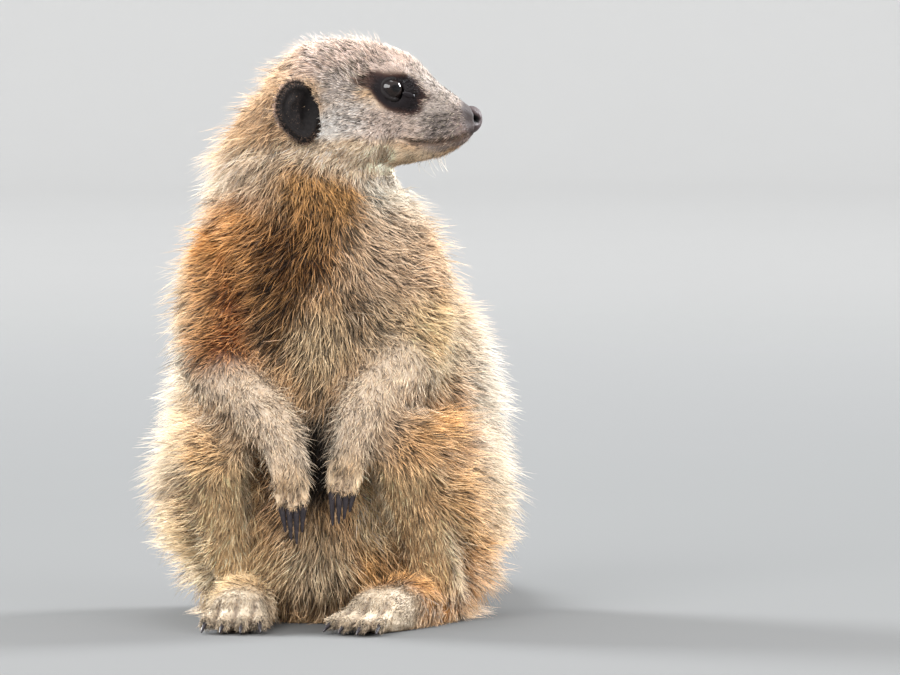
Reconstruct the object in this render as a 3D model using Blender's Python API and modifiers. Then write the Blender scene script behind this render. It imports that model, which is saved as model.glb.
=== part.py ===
"""A life-size meerkat that sits upright and looks over its left shoulder side.

The outer surface of the coat is modelled whole, from swept muscles, and is then parted with
thin cuts into the parts that a person would name. The animal faces -Y, its left is +X, up is
+Z, and it sits on the plane z = 0. Lengths are written in millimetres and scaled by MM.
"""

import math
from itertools import combinations

import bmesh
import bpy
import numpy as np
from mathutils import Matrix, Vector

MM = 0.001
GAP = 0.3  # free space between two parts
VOXEL = 1.15  # cell of the remesh that fuses the muscles
SMOOTHING = 12  # rounds that soften the creases between muscles
WHOLE_FACES = 2020  # triangles kept on the fused surface
FLAT_ANGLE = math.radians(2)  # facets that meet at less than this become one
FLOOR_CUT = 60.0  # height of the block that cuts the flats it rests on

HEAD_PLACE = (-2.0, 0.0, 194.6)  # middle of the skull, between the ears
HEAD_YAW = -4.0  # degrees about Z from +X, towards the front
EYE_RADIUS = 5.2
EYE_PLACE = (27.6, 13.1, 3.2)  # in the head: forward, to its left, up
LOOK = math.radians(52)  # the angle between the way the eye looks and the nose
EYE_BULGE = 1.3  # how far the eye's centre lies outside that of the lids
LID_THICKNESS = 1.0
EAR_PLACE = (-5.4, 24.0, -4.4)
EAR_HALF = (9.0, 5.4, 12.2)
EAR_HOLLOW_SHIFT = (1.6, 4.6, 0.4)  # of the hollow's middle from the ear's
EAR_HOLLOW_HALF = (6.6, 6.0, 9.6)
EAR_YAW = -24.0  # degrees
EAR_ROLL = 8.0
NOSE_PLACE = (57.0, 0.0, -7.5)
NOSE_HALF = (4.1, 4.5, 5.0)
TOES = 4


# ---------------------------------------------------------------- building blocks


def clear_scene():
    for obj in list(bpy.data.objects):
        bpy.data.objects.remove(obj)


def new_collection(name, shown=True):
    made = bpy.data.collections.new(name)
    bpy.context.scene.collection.children.link(made)
    made.hide_render = not shown
    return made


def material(name, colour, roughness):
    made = bpy.data.materials.new(name)
    made.use_nodes = True
    shader = made.node_tree.nodes["Principled BSDF"]
    shader.inputs["Base Color"].default_value = (*colour, 1)
    shader.inputs["Roughness"].default_value = roughness
    shader.inputs["Metallic"].default_value = 0
    return made


def add_object(name, mesh, collection):
    made = bpy.data.objects.new(name, mesh)
    collection.objects.link(made)
    return made


def helper(name, mesh):
    """A cutter or guide, which is not a part of the animal."""
    made = add_object(name, mesh, HELPERS)
    made.hide_render = True
    made.display_type = "WIRE"
    return made


def splined(rows, steps=4):
    """Rows of numbers on a smooth curve through the given rows."""
    rows = np.array(rows, float)
    held = np.vstack([2 * rows[0] - rows[1], rows, 2 * rows[-1] - rows[-2]])
    found = []
    for i in range(1, len(rows)):
        a, b, c, d = held[i - 1 : i + 3]
        for t in np.arange(steps) / steps:
            cubic = (3 * b - a - 3 * c + d) * t**3
            found.append((2 * b + (c - a) * t + (2 * a - 5 * b + 4 * c - d) * t**2 + cubic) / 2)
    return np.array([*found, rows[-1]])


def sweep(
    name,
    stations,
    side,
    sides=24,
    grow=0.0,
    power=2.0,
    end=1.0,
    place=None,
    plain=False,
    facing=None,
):
    """A closed tube of oval rings. Each station is (x, y, z, half width along side, half height).

    grow adds to both half sizes, power squares the ovals off, and end is how far the round
    ends reach past the path, as a share of their radius. A plain tube has the fewest rings.
    The rings stand square to the path, or to the way that facing gives.
    """
    rows = splined(stations, 1 if plain else 4)
    centres, halves = rows[:, :3], np.maximum(rows[:, 3:5] + grow, 0.3)
    tangents = np.gradient(centres, axis=0)
    cap = [(math.sin(a), math.cos(a)) for a in np.radians([50] if plain else [25, 50, 72])]
    start = [(0, -reach, share) for reach, share in reversed(cap)]
    stop = [(len(rows) - 1, reach, share) for reach, share in cap]
    rings = start + [(i, 0, 1) for i in range(len(rows))] + stop
    bm = bmesh.new()
    loops = []
    for i, reach, share in rings:
        along = Vector(facing or tangents[i]).normalized()
        across = (Vector(side) - along * along.dot(Vector(side))).normalized()
        upward = along.cross(across)
        middle = Vector(centres[i]) + along * reach * end * min(halves[i])
        loop = []
        for turn in np.arange(sides) * 2 * math.pi / sides:
            c, s = math.cos(turn), math.sin(turn)
            wide = math.copysign(abs(c) ** (2 / power), c) * halves[i][0] * share
            high = math.copysign(abs(s) ** (2 / power), s) * halves[i][1] * share
            loop.append(bm.verts.new((middle + across * wide + upward * high) * MM))
        loops.append(loop)
    for low, high in zip(loops, loops[1:]):
        for k in range(sides):
            after = (k + 1) % sides
            bm.faces.new((low[k], low[after], high[after]))
            bm.faces.new((low[k], high[after], high[k]))
    bm.faces.new(loops[0][::-1])
    bm.faces.new(loops[-1])
    return finished(name, bm, place)


def finished(name, bm, place=None):
    bmesh.ops.recalc_face_normals(bm, faces=bm.faces)
    mesh = bpy.data.meshes.new(name)
    bm.to_mesh(mesh)
    bm.free()
    if place is not None:
        mesh.transform(place)
    return helper(name, mesh)


def ball(name, centre, half, turn=None, place=None, segments=20, grow=0.0):
    """An ellipsoid of these half sizes, turned about its own centre, then placed."""
    bm = bmesh.new()
    bmesh.ops.create_uvsphere(bm, u_segments=segments, v_segments=segments // 2 + 1, radius=1)
    sized = Matrix.Diagonal([(h + grow) * MM for h in half]).to_4x4()
    turned = turn if turn is not None else Matrix.Identity(4)
    moved = Matrix.Translation(Vector(centre) * MM) @ turned @ sized
    bmesh.ops.transform(bm, verts=bm.verts, matrix=moved)
    return finished(name, bm, place)


def block(name, centre, size, turn=None):
    bm = bmesh.new()
    bmesh.ops.create_cube(bm, size=1)
    sized = Matrix.Diagonal([s * MM for s in size]).to_4x4()
    turned = turn if turn is not None else Matrix.Identity(4)
    moved = Matrix.Translation(Vector(centre) * MM) @ turned @ sized
    bmesh.ops.transform(bm, verts=bm.verts, matrix=moved)
    return finished(name, bm)


def half_space(name, point, normal, reach=400.0, shift=0.0):
    """A large block on the side of a plane that the normal points to."""
    normal = Vector(normal).normalized()
    turn = normal.to_track_quat("Z", "Y").to_matrix().to_4x4()
    middle = Vector(point) + normal * (reach / 2 + shift)
    return block(name, middle, (reach, reach, reach), turn)


def evaluated(obj):
    graph = bpy.context.evaluated_depsgraph_get()
    return bpy.data.meshes.new_from_object(obj.evaluated_get(graph), depsgraph=graph)


def part_doubled_edges(bm):
    """A diagonal that runs along another edge gets a middle point of its own."""
    bm.normal_update()
    for edge in [e for e in bm.edges if len(e.link_faces) > 2]:
        pairs = combinations(edge.link_faces, 2)
        flat = max(pairs, key=lambda pair: pair[0].normal.dot(pair[1].normal))
        middle = bm.verts.new((edge.verts[0].co + edge.verts[1].co) / 2)
        for face in flat:
            loop = next(l for l in face.loops if l.edge == edge)
            tip = loop.link_loop_prev.vert
            bm.faces.new((loop.vert, middle, tip))
            bm.faces.new((middle, loop.link_loop_next.vert, tip))
        bmesh.ops.delete(bm, geom=list(flat), context="FACES_ONLY")


def largest_piece(mesh):
    """Drops the crumbs that a cut leaves beside the part."""
    bm = bmesh.new()
    bm.from_mesh(mesh)
    left, pieces = set(bm.faces), []
    while left:
        front = [left.pop()]
        piece = set(front)
        while front:
            for edge in front.pop().edges:
                for face in edge.link_faces:
                    if face in left and len(edge.link_faces) == 2:
                        left.discard(face)
                        piece.add(face)
                        front.append(face)
        pieces.append(piece)
    keep = max(pieces, key=len)
    bmesh.ops.delete(bm, geom=[f for f in bm.faces if f not in keep], context="FACES")
    bmesh.ops.dissolve_limit(bm, angle_limit=FLAT_ANGLE, verts=bm.verts, edges=bm.edges)
    bmesh.ops.triangulate(bm, faces=bm.faces)
    part_doubled_edges(bm)
    bm.to_mesh(mesh)
    bm.free()
    return mesh


def cut(mesh, cutters, operation):
    """The mesh after one Boolean with each cutter, as a new mesh."""
    worked = helper("worked", mesh)
    for cutter in cutters:
        boolean = worked.modifiers.new(cutter.name, "BOOLEAN")
        boolean.operation = operation
        boolean.solver = "MANIFOLD"
        boolean.object = cutter
    made = evaluated(worked)
    bpy.data.objects.remove(worked)
    return made


# ---------------------------------------------------------------- the animal's measures

# Forward, top and bottom of the profile, and half width, from the back of the skull to the nose.
HEAD_PROFILE = [
    (-22, 6.5, -7, 10.0),
    (-20, 10.2, -10, 14.0),
    (-15, 16.4, -18, 20.0),
    (-8, 20.2, -24, 24.5),
    (1, 22.2, -26, 26.5),
    (10, 22.9, -26, 25.6),
    (18, 22.2, -25.6, 22.4),
    (26, 20.4, -24.8, 18.2),
    (33, 17.2, -24.2, 14.8),
    (38, 13.4, -23.2, 12.9),
    (42, 9.0, -22.2, 11.8),
    (46, 5.2, -21.0, 10.9),
    (51, 1.6, -18.6, 9.6),
    (54, -0.6, -16.2, 8.3),
    (56.5, -2.2, -14.4, 6.9),
]
# Middle and half sizes of what swells out on each side of the skull.
HEAD_SWELLINGS = {
    "cheek": ((13, 16, -13), (14, 9.5, 11)),
    "brow": ((26, 11, 11), (9, 6, 5)),
    "whisker_pad": ((48.5, 5.2, -11), (8.5, 5.6, 6)),
}
# The tube, in the head, whose top is the line of the mouth and which holds the lower jaw.
JAW_TUBE = [
    (35, 0, -28, 22, 12),
    (41, 0, -28.2, 22, 12),
    (47, 0, -27.6, 22, 12),
    (53, 0, -26.0, 22, 12),
    (60, 0, -22.8, 22, 12),
    (66, 0, -20.5, 22, 12),
]
# Centre, half width and half depth of the neck and trunk, from the skull down to the seat.
TORSO = [
    (-6, 2, 187, 26, 24),
    (-8.5, 3, 177, 30, 27),
    (-8, 4, 165, 34.5, 30),
    (-6.5, 4, 150, 41, 34),
    (-4, 4, 134, 44, 38),
    (-2, 4.5, 116, 48, 41),
    (1.5, 6, 98, 55, 43),
    (3.5, 8, 80, 60, 46),
    (4.5, 11, 60, 60, 49),
    (5, 14, 38, 58, 50),
    (5, 16, 19, 58, 48),
    (5, 17, 8, 51, 42),
]
TAIL = [
    (26, 32, 20, 19, 18),
    (38, 54, 13.5, 15.5, 14),
    (47, 82, 10.5, 12.5, 11.5),
    (48, 116, 8.8, 10.4, 9.8),
    (42, 152, 7.6, 9.0, 8.4),
    (30, 186, 6.6, 7.8, 7.4),
    (15, 216, 5.6, 6.6, 6.4),
    (4, 235, 4.8, 5.6, 5.4),
]
# Centre, half width across and half width fore and aft, from the shoulder to the wrist.
ARMS = {
    "right": [
        (-30, 2, 147, 14, 15),
        (-38, -7, 130, 15.5, 16),
        (-40.5, -16, 110, 15, 15),
        (-37, -27, 93, 15, 12.5),
        (-25, -39, 81.5, 12, 10.5),
        (-16.5, -47, 73, 9.8, 9),
        (-13.2, -51, 64.5, 8.6, 7.6),
        (-11.6, -53, 56, 7.8, 6),
    ],
    "left": [
        (23, 2, 148, 13, 14),
        (31, -7, 132, 15, 16),
        (34.5, -16, 114, 14.5, 15),
        (31, -26, 98, 14, 12.5),
        (19.5, -38, 86, 12, 10.5),
        (13.8, -46, 77, 9.6, 9),
        (11.0, -50, 69, 8.2, 7.6),
        (9.2, -52, 61.5, 7.4, 6),
    ],
}
THIGHS = {
    "right": [
        (-30, 30, 34, 24, 27),
        (-38, 6, 44, 23.5, 29),
        (-43, -16, 55, 19, 25),
        (-39, -34, 64, 14, 17),
    ],
    "left": [
        (36, 28, 34, 27, 28),
        (43, 2, 46, 26, 30),
        (40, -22, 57, 21, 26),
        (31, -41, 66, 14.5, 17),
    ],
}
SHANKS = {
    "right": [
        (-39, -36, 62, 12, 12),
        (-38, -30, 46, 12, 12),
        (-34, -20, 28, 11, 12),
        (-29, -10, 13, 9.5, 11),
    ],
    "left": [
        (30, -43, 63, 12, 12),
        (34, -36, 46, 12, 12),
        (39, -26, 28, 11, 12),
        (43, -15, 13, 10, 11),
    ],
}
FEET = {
    "right": [
        (-27, -4, 8.2, 8.5, 9),
        (-28, -20, 8.4, 9, 9.5),
        (-29.5, -37, 8.4, 9.8, 9.5),
        (-31, -51, 7.2, 10.4, 8.4),
    ],
    "left": [
        (45, -9, 8.2, 8.5, 9),
        (37, -26, 8.4, 9.3, 9.5),
        (27.5, -43, 8.4, 10, 9.5),
        (19, -57, 7.2, 10.4, 8.4),
    ],
}
# Middle of each row of knuckles, the way the digits point, and the middle digits' length.
FORE_TOES = {
    "right": ((-11.4, -54, 53.0), (0.06, -0.15, -1), 9.6),
    "left": ((8.0, -53, 58.5), (-0.07, -0.15, -1), 9.8),
}
HIND_TOES = {
    "right": ((-31.5, -54, 6.2), (-0.12, -1, -0.2), 15.0),
    "left": ((17, -60, 6.2), (-0.5, -1, -0.2), 15.0),
}
FORE_DIGIT = 2.3  # radius of the middle digits
HIND_DIGIT = 3.5
FORE_SPREAD = -0.11  # how far each digit turns away from the next; below 0 they close up
HIND_SPREAD = 0.13
FORE_CLAW = 12.5
HIND_CLAW = 6.5
DIGIT_PITCH = 1.5  # from one digit to the next, as a share of its radius
CLAW_THICKNESS = ((0, 1.5), (0.35, 1.3), (0.7, 0.9), (1, 0.45))  # share of length, half height
CLAW_FLATNESS = 0.85  # width of a claw beside its height


def head_matrix():
    turn = Matrix.Rotation(math.radians(HEAD_YAW), 4, "Z")
    return Matrix.Translation(Vector(HEAD_PLACE) * MM) @ turn


def mirrored(point, side):
    """A place in the head, moved to its left or right."""
    return (point[0], point[1] * side, point[2])


def digits(spec, spread, radius):
    """Start, end, direction and radius of each digit of a paw, side by side."""
    knuckles, way, length = spec
    way = Vector(way).normalized()
    upright = abs(way.z) > 0.7
    across = way.cross(Vector((0, 1, 0)) if upright else Vector((0, 0, 1))).normalized()
    for k in range(TOES):
        offset = k - (TOES - 1) / 2
        along = (way + across * offset * spread).normalized()
        start = Vector(knuckles) + across * offset * radius * DIGIT_PITCH
        reach = length * (1 - 0.07 * abs(offset) ** 1.6)
        yield start, start + along * (reach - radius), along, radius * (1 - 0.04 * abs(offset))


# ---------------------------------------------------------------- the whole surface


def head_forms():
    place = head_matrix()
    rows = [(f, 0, (t + b) / 2, half, (t - b) / 2) for f, t, b, half in HEAD_PROFILE]
    sweep("skull", rows, (0, 1, 0), power=2.25, end=0.45, place=place, facing=(1, 0, 0))
    for side in (1, -1):
        for name, (middle, half) in HEAD_SWELLINGS.items():
            ball(name, mirrored(middle, side), half, place=place)
        outward = Vector((math.cos(LOOK), side * math.sin(LOOK), 0.12))
        socket = Vector(mirrored(EYE_PLACE, side)) - outward * EYE_BULGE
        ball("lids", socket, [EYE_RADIUS + LID_THICKNESS] * 3, place=place)


def limb_forms():
    for side in ("right", "left"):
        sweep("arm", ARMS[side], (1, 0, 0))
        sweep("thigh", THIGHS[side], (1, 0, 0))
        sweep("shank", SHANKS[side], (1, 0, 0))
        sweep("foot", FEET[side], (1, 0, 0), power=2.4)
        wrist = Vector(ARMS[side][-1][:3])
        for spec, spread, radius, root in (
            (FORE_TOES[side], FORE_SPREAD, FORE_DIGIT, wrist),
            (HIND_TOES[side], HIND_SPREAD, HIND_DIGIT, None),
        ):
            for start, end, along, thick in digits(spec, spread, radius):
                back = start - along * 7 if root is None else start.lerp(root, 0.7)
                rows = [(*p, thick, thick) for p in (back, start, start.lerp(end, 0.5), end)]
                sweep("digit", rows, (1, 0, 0), sides=14)


def detail(point):
    """From 0 on the broad trunk to 1 on the face, the paws and the feet."""
    places = [(Vector(HEAD_PLACE) + Vector((36, 0, -3)), 24)]
    for side in ("right", "left"):
        for knuckles, way, length in (FORE_TOES[side], HIND_TOES[side]):
            places.append((Vector(knuckles) + Vector(way) * length * 0.6, 13))
    nearest = min((point / MM - middle).length / reach for middle, reach in places)
    return min(1, max(0, 1.6 - nearest))


def fused_surface():
    """All the forms as one closed skin, with more triangles on the face and the paws."""
    sweep("torso", TORSO, (1, 0, 0), end=0.35)
    sweep("tail", TAIL, (1, 0, 0))
    head_forms()
    limb_forms()
    bm = bmesh.new()
    for form in list(HELPERS.objects):
        bm.from_mesh(form.data)
        bpy.data.objects.remove(form)
    whole = finished("whole", bm)
    remesh = whole.modifiers.new("fuse", "REMESH")
    remesh.mode = "VOXEL"
    remesh.voxel_size = VOXEL * MM
    fused = helper("fused", evaluated(whole))
    broad = fused.vertex_groups.new(name="broad")
    for vertex in fused.data.vertices:
        broad.add([vertex.index], 1 - 0.9 * detail(vertex.co), "REPLACE")
    smooth = fused.modifiers.new("soften", "SMOOTH")
    smooth.factor = 0.5
    smooth.iterations = SMOOTHING
    smooth.vertex_group = "broad"
    thin = fused.modifiers.new("thin", "DECIMATE")
    thin.ratio = WHOLE_FACES / (2 * len(fused.data.polygons))
    thin.vertex_group = "broad"
    thin.vertex_group_factor = 0.02
    mesh = evaluated(fused)
    floor = block("floor", (0, 60, -FLOOR_CUT / 2), (600, 800, FLOOR_CUT))
    return cut(mesh, [floor], "DIFFERENCE")


# ---------------------------------------------------------------- the regions


def above_neck(grow):
    """The side of the slanting plane behind the jaw on which the head lies."""
    return half_space("above_neck", (8, 0, 170), (0.36, 0, 1), shift=-grow)


def above_shoulders(grow):
    return half_space("above_shoulders", (0, 0, 151), (0.05, 0, 1), shift=-grow)


def jaw_region(grow):
    """Everything under the line of the mouth, ahead of its corner."""
    place = head_matrix()
    return sweep("jaw_region", JAW_TUBE, (0, 1, 0), 12, grow, 7, 0.15, place, plain=True)


def limb_region(name, stations, extra, reach=0.35):
    def region(grow):
        return sweep(name, stations, (1, 0, 0), 8, grow + extra, end=reach, plain=True)

    return region


def between(a, b, share):
    return tuple(p + (q - p) * share for p, q in zip(a, b))


def paw_region(side):
    arm = ARMS[side]
    knuckles, way, length = FORE_TOES[side]
    tip = Vector(knuckles) + Vector(way).normalized() * length
    rows = [between(arm[-2], arm[-1], 0.85), (*knuckles, 8.8, 8), (*tip, 8.8, 9)]
    return limb_region("paw_region", rows, 1.0)


def foot_region(side):
    knuckles, way, length = HIND_TOES[side]
    tip = Vector(knuckles) + Vector(way).normalized() * length
    rows = [*FEET[side], (*tip, 13, 9)]
    return limb_region("foot_region", rows, 1.8)


# ---------------------------------------------------------------- the parts


def part(name, mesh, look):
    mesh.materials.clear()
    mesh.materials.append(look)
    mesh.name = name
    made = add_object(name, largest_piece(mesh), ANIMAL)
    mesh.shade_smooth()
    mesh.set_sharp_from_angle(angle=math.radians(50))
    return made


def taken(whole, name, look, inside, outside):
    """The part of the whole that lies in every region of inside and in none of outside."""
    keep = [region(0.0) for region in inside]
    drop = [region(GAP) for region in outside]
    mesh = cut(cut(whole.copy(), keep, "INTERSECT"), drop, "DIFFERENCE")
    for cutter in keep + drop:
        bpy.data.objects.remove(cutter)
    return part(name, mesh, look)


def eye_region(side):
    def region(grow):
        size = [EYE_RADIUS + grow] * 3
        return ball("eye_region", mirrored(EYE_PLACE, side), size, None, head_matrix(), 10)

    return region


def ear_turn(side):
    yaw = Matrix.Rotation(math.radians(EAR_YAW * side), 4, "Z")
    return yaw @ Matrix.Rotation(math.radians(EAR_ROLL * side), 4, "X")


def ear_region(side):
    def region(grow):
        place = mirrored(EAR_PLACE, side)
        return ball("ear_region", place, EAR_HALF, ear_turn(side), head_matrix(), 12, grow)

    return region


def nose_region(grow):
    return ball("nose_region", NOSE_PLACE, NOSE_HALF, None, head_matrix(), 10, grow)


def ear(side, name, look):
    """A thin cup that opens outward and forward, with a thick rim."""
    outer = ear_region(side)(0.0)
    middle = mirrored([a + b for a, b in zip(EAR_PLACE, EAR_HOLLOW_SHIFT)], side)
    inner = ball("ear_hollow", middle, EAR_HOLLOW_HALF, ear_turn(side), head_matrix(), 10)
    made = part(name, cut(outer.data.copy(), [inner], "DIFFERENCE"), look)
    bpy.data.objects.remove(outer)
    bpy.data.objects.remove(inner)
    return made


def claw_rows(end, along, radius, length, fore):
    """A claw that leaves the digit's end and curves down to a thin tip."""
    down = Vector((0, 0, -1)) if not fore else Vector((0, 0.35, -0.4))
    root = end - along * radius * 0.2
    rows = []
    for share, thick in CLAW_THICKNESS:
        point = root + along * length * share + down * length * 0.34 * share**2
        if not fore:
            point.z = max(point.z, 1.0)
        rows.append((*point, thick * CLAW_FLATNESS, thick))
    return rows


def claw_regions(side, kind):
    fore = kind == "fore"
    spec = FORE_TOES[side] if fore else HIND_TOES[side]
    spread, radius, length = (
        (FORE_SPREAD, FORE_DIGIT, FORE_CLAW) if fore else (HIND_SPREAD, HIND_DIGIT, HIND_CLAW)
    )
    made = []
    for _, end, along, thick in digits(spec, spread, radius):
        rows = claw_rows(end, along, thick, length, fore)

        def region(grow, rows=rows):
            return sweep("claw_region", rows, (1, 0, 0), 6, grow, end=0.6, plain=True)

        made.append(region)
    return made


def build_head(whole, fur, dark, pad):
    special = [nose_region]
    for side in (1, -1):
        special += [eye_region(side), ear_region(side)]
    taken(whole, "head", fur, [above_neck], [jaw_region, *special])
    taken(whole, "lower_jaw", fur, [above_neck, jaw_region], [nose_region])
    taken(whole, "neck", fur, [above_shoulders], [above_neck])
    for side, word in ((1, "left"), (-1, "right")):
        shape = eye_region(side)(0.0)
        part(f"{word}_eye", shape.data.copy(), EYE_LOOK)
        bpy.data.objects.remove(shape)
        ear(side, f"{word}_ear", dark)
    shape = nose_region(0.0)
    part("nose", shape.data.copy(), pad)
    bpy.data.objects.remove(shape)


def build_limbs(whole, fur, pale, claw):
    """The legs, and the list of regions that the trunk leaves free."""
    regions = []
    for side in ("right", "left"):
        arm, thigh, shank = ARMS[side], THIGHS[side], SHANKS[side]
        paw, foot = paw_region(side), foot_region(side)
        forearm = limb_region("forearm_region", arm[3:], 2.4)
        upper_arm = limb_region("upper_arm_region", arm[:4], 3.0)
        shank_region = limb_region("shank_region", shank, 2.0)
        thigh_region = limb_region("thigh_region", thigh, 4.0, 0.9)
        claws = {kind: claw_regions(side, kind) for kind in ("fore", "hind")}
        taken(whole, f"{side}_forepaw", pale, [paw], claws["fore"])
        taken(whole, f"{side}_forearm", fur, [forearm], [paw, above_shoulders])
        taken(whole, f"{side}_upper_arm", fur, [upper_arm], [forearm, above_shoulders])
        taken(whole, f"{side}_hind_foot", pale, [foot], claws["hind"])
        taken(whole, f"{side}_shank", fur, [shank_region], [foot])
        taken(whole, f"{side}_thigh", fur, [thigh_region], [shank_region, foot, forearm, paw])
        for kind, made in claws.items():
            for k, region in enumerate(made):
                shape = region(0.0)
                part(f"{side}_{kind}_claw_{k + 1}", shape.data.copy(), claw)
                bpy.data.objects.remove(shape)
        regions += [paw, forearm, upper_arm, foot, shank_region, thigh_region]
    return regions


def build_tail(whole, fur, dark):
    base = limb_region("tail_base_region", [between(TAIL[1], TAIL[2], 0.1), *TAIL[2:4]], 2.5)
    middle = limb_region("tail_middle_region", TAIL[3:6], 2.5)
    tip = limb_region("tail_tip_region", TAIL[5:], 2.5, 1.5)
    taken(whole, "tail_tip", dark, [tip], [])
    taken(whole, "tail_middle", fur, [middle], [tip])
    taken(whole, "tail_base", fur, [base], [middle])
    return [base, middle, tip]


clear_scene()
ANIMAL = new_collection("meerkat")
HELPERS = new_collection("guides", shown=False)
EYE_LOOK = material("dark_brown_eye", (0.014, 0.008, 0.006), 0.08)


def main():
    fur = material("tawny_coat", (0.42, 0.28, 0.17), 0.9)
    pale = material("pale_coat", (0.56, 0.43, 0.31), 0.9)
    dark = material("dark_coat", (0.03, 0.022, 0.02), 0.9)
    pad = material("nose_pad", (0.18, 0.14, 0.14), 0.45)
    claw = material("dark_claw", (0.035, 0.026, 0.022), 0.4)
    whole = fused_surface()
    build_head(whole, fur, dark, pad)
    regions = build_tail(whole, fur, dark) + build_limbs(whole, fur, pale, claw)
    taken(whole, "trunk", fur, [], [above_shoulders, *regions])


main()
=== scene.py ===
import math

import bmesh
import bpy
import numpy as np
from mathutils import Matrix, Vector
from mathutils.bvhtree import BVHTree


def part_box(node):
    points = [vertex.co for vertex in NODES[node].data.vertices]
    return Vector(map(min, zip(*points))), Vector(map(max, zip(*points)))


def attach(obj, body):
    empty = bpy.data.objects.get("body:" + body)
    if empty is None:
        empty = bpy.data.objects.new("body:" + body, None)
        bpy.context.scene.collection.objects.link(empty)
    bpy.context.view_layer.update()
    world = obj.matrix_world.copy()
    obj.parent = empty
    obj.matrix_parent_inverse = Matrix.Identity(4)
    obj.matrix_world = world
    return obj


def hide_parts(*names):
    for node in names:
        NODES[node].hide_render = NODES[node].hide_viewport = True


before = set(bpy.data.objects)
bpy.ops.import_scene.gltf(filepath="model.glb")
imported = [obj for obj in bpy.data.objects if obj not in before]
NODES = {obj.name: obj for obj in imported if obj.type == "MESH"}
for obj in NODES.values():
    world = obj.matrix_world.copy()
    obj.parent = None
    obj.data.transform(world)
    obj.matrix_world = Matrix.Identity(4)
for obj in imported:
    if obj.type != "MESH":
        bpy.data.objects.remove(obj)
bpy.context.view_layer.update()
MM = 0.001

# ---------------- measures, in millimetres

SEED = 4021
SIDES = ((-1, "right"), (1, "left"))
MERGE = 2e-6  # in metres, how near two corners are to count as one
FATTEN = 0.35  # closes the thin cuts between the solids
VOXEL = 0.62
SKIN_TRIANGLES = 190000
FLOOR_CLEARANCE = 0.12
FLOOR_REACH = 5.4  # in metres, where the studio's floor starts to curve up
PAPER = 0.6  # how light the studio's paper looks
SKY = 1.45  # the strength of the even light from all around
SKY_ON_FLOOR = 0.95  # how much of that light falls on the floor
AIM = (0.01, 0, 0.11)  # in metres, where every lamp points
# Each lamp: name, place and size in metres, power, colour, and whether wet surfaces mirror it.
LAMPS = [
    ("key", (-0.9, -1.7, 1.3), 1.2, 64, (1, 1, 1), True),
    ("fill", (1.5, -1.5, 0.7), 1.4, 47, (1, 1, 1), False),
    ("rim_left", (-1.3, 0.7, 0.8), 0.6, 100, (0.93, 0.97, 1), True),
    ("rim_right", (1.35, 0.65, 0.8), 0.6, 88, (0.93, 0.97, 1), True),
    ("top", (0, 0.3, 1.8), 1.0, 15, (1, 1, 1), True),
]
EYE_RADIUS = 5.2
EYE_LOOK = math.radians(52)  # between the way an eye looks and the nose
EYE_SHIFT = (-0.6, 0.8)  # of the shown eyes from the solid ones: forward, up
EYE_FORWARD = 27.6  # from the middle of the skull
EYE_UP = 3.2
CORNER_PLACE = (34.6, 1.9)  # of the eye's inner corner: forward, up
CORNER_HALF = (2.9, 0.9, 1.15)
EYE_PATCH_PLACE = (28.8, 3.5)
EYE_PATCH_TILT = math.radians(-14)
EAR_PLACE = (-5.4, 24.0, -4.4)  # of the ear's middle: forward, to its side, up
EAR_HALF = (8.7, 5.4, 11.0)
EAR_YAW = math.radians(-24)
EAR_ROLL = math.radians(8)
EAR_FILL_SINK = 7.2  # how far the flesh behind the ear lies below the ear's middle
EAR_FILL_HALF = 3.6
EAR_TUFTS = 2600
# The length of each forepaw claw as a share of its solid's, and how much it leans sideways.
CLAW_WAYS = {
    "right": [(0.78, 0.13), (0.9, 0.07), (1.0, 0.02), (0.8, -0.04)],
    "left": [(1.0, 0.03), (0.86, -0.01), (0.74, -0.06), (0.64, -0.13)],
}
WHISKERS = 46
CAMERA_TARGET = (0.0469, 0, 0.1054)  # in metres, like the camera's other measures
CAMERA_AWAY = 2.5
CAMERA_TILT = math.radians(3)  # how far down the camera looks
PICTURE_WIDTH = 0.3375  # how much the picture takes in at the animal
# The line of the mouth on the side of the head: forward, up.
MOUTH = [(60.2, -11.6), (57, -13.2), (53.4, -14.6), (44.75, -16.3), (36, -16), (31, -14.3)]

# What the hair is on each part: skin below the solid, length, lift in degrees, width.
COAT = {
    "head": (1.3, 3.6, 28, 0.38),
    "lower_jaw": (0.9, 2.8, 24, 0.34),
    "neck": (3.4, 7.4, 34, 0.46),
    "trunk": (4.6, 9.4, 34, 0.5),
    "upper_arm": (3.6, 8.0, 32, 0.48),
    "forearm": (1.9, 4.4, 24, 0.42),
    "forepaw": (0.7, 3.0, 20, 0.38),
    "thigh": (4.4, 9.2, 34, 0.5),
    "shank": (2.6, 6.2, 28, 0.46),
    "hind_foot": (1.0, 3.0, 17, 0.4),
    "tail_base": (3.8, 8.4, 26, 0.5),
    "tail_middle": (2.6, 7.4, 22, 0.46),
    "tail_tip": (1.6, 6.6, 18, 0.44),
}
# The way the toes of each paw point.
TOE_WAYS = {
    "right_fore": (0.06, -0.15, -1),
    "left_fore": (-0.07, -0.15, -1),
    "right_hind": (-0.12, -1, -0.2),
    "left_hind": (-0.5, -1, -0.2),
}
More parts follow.
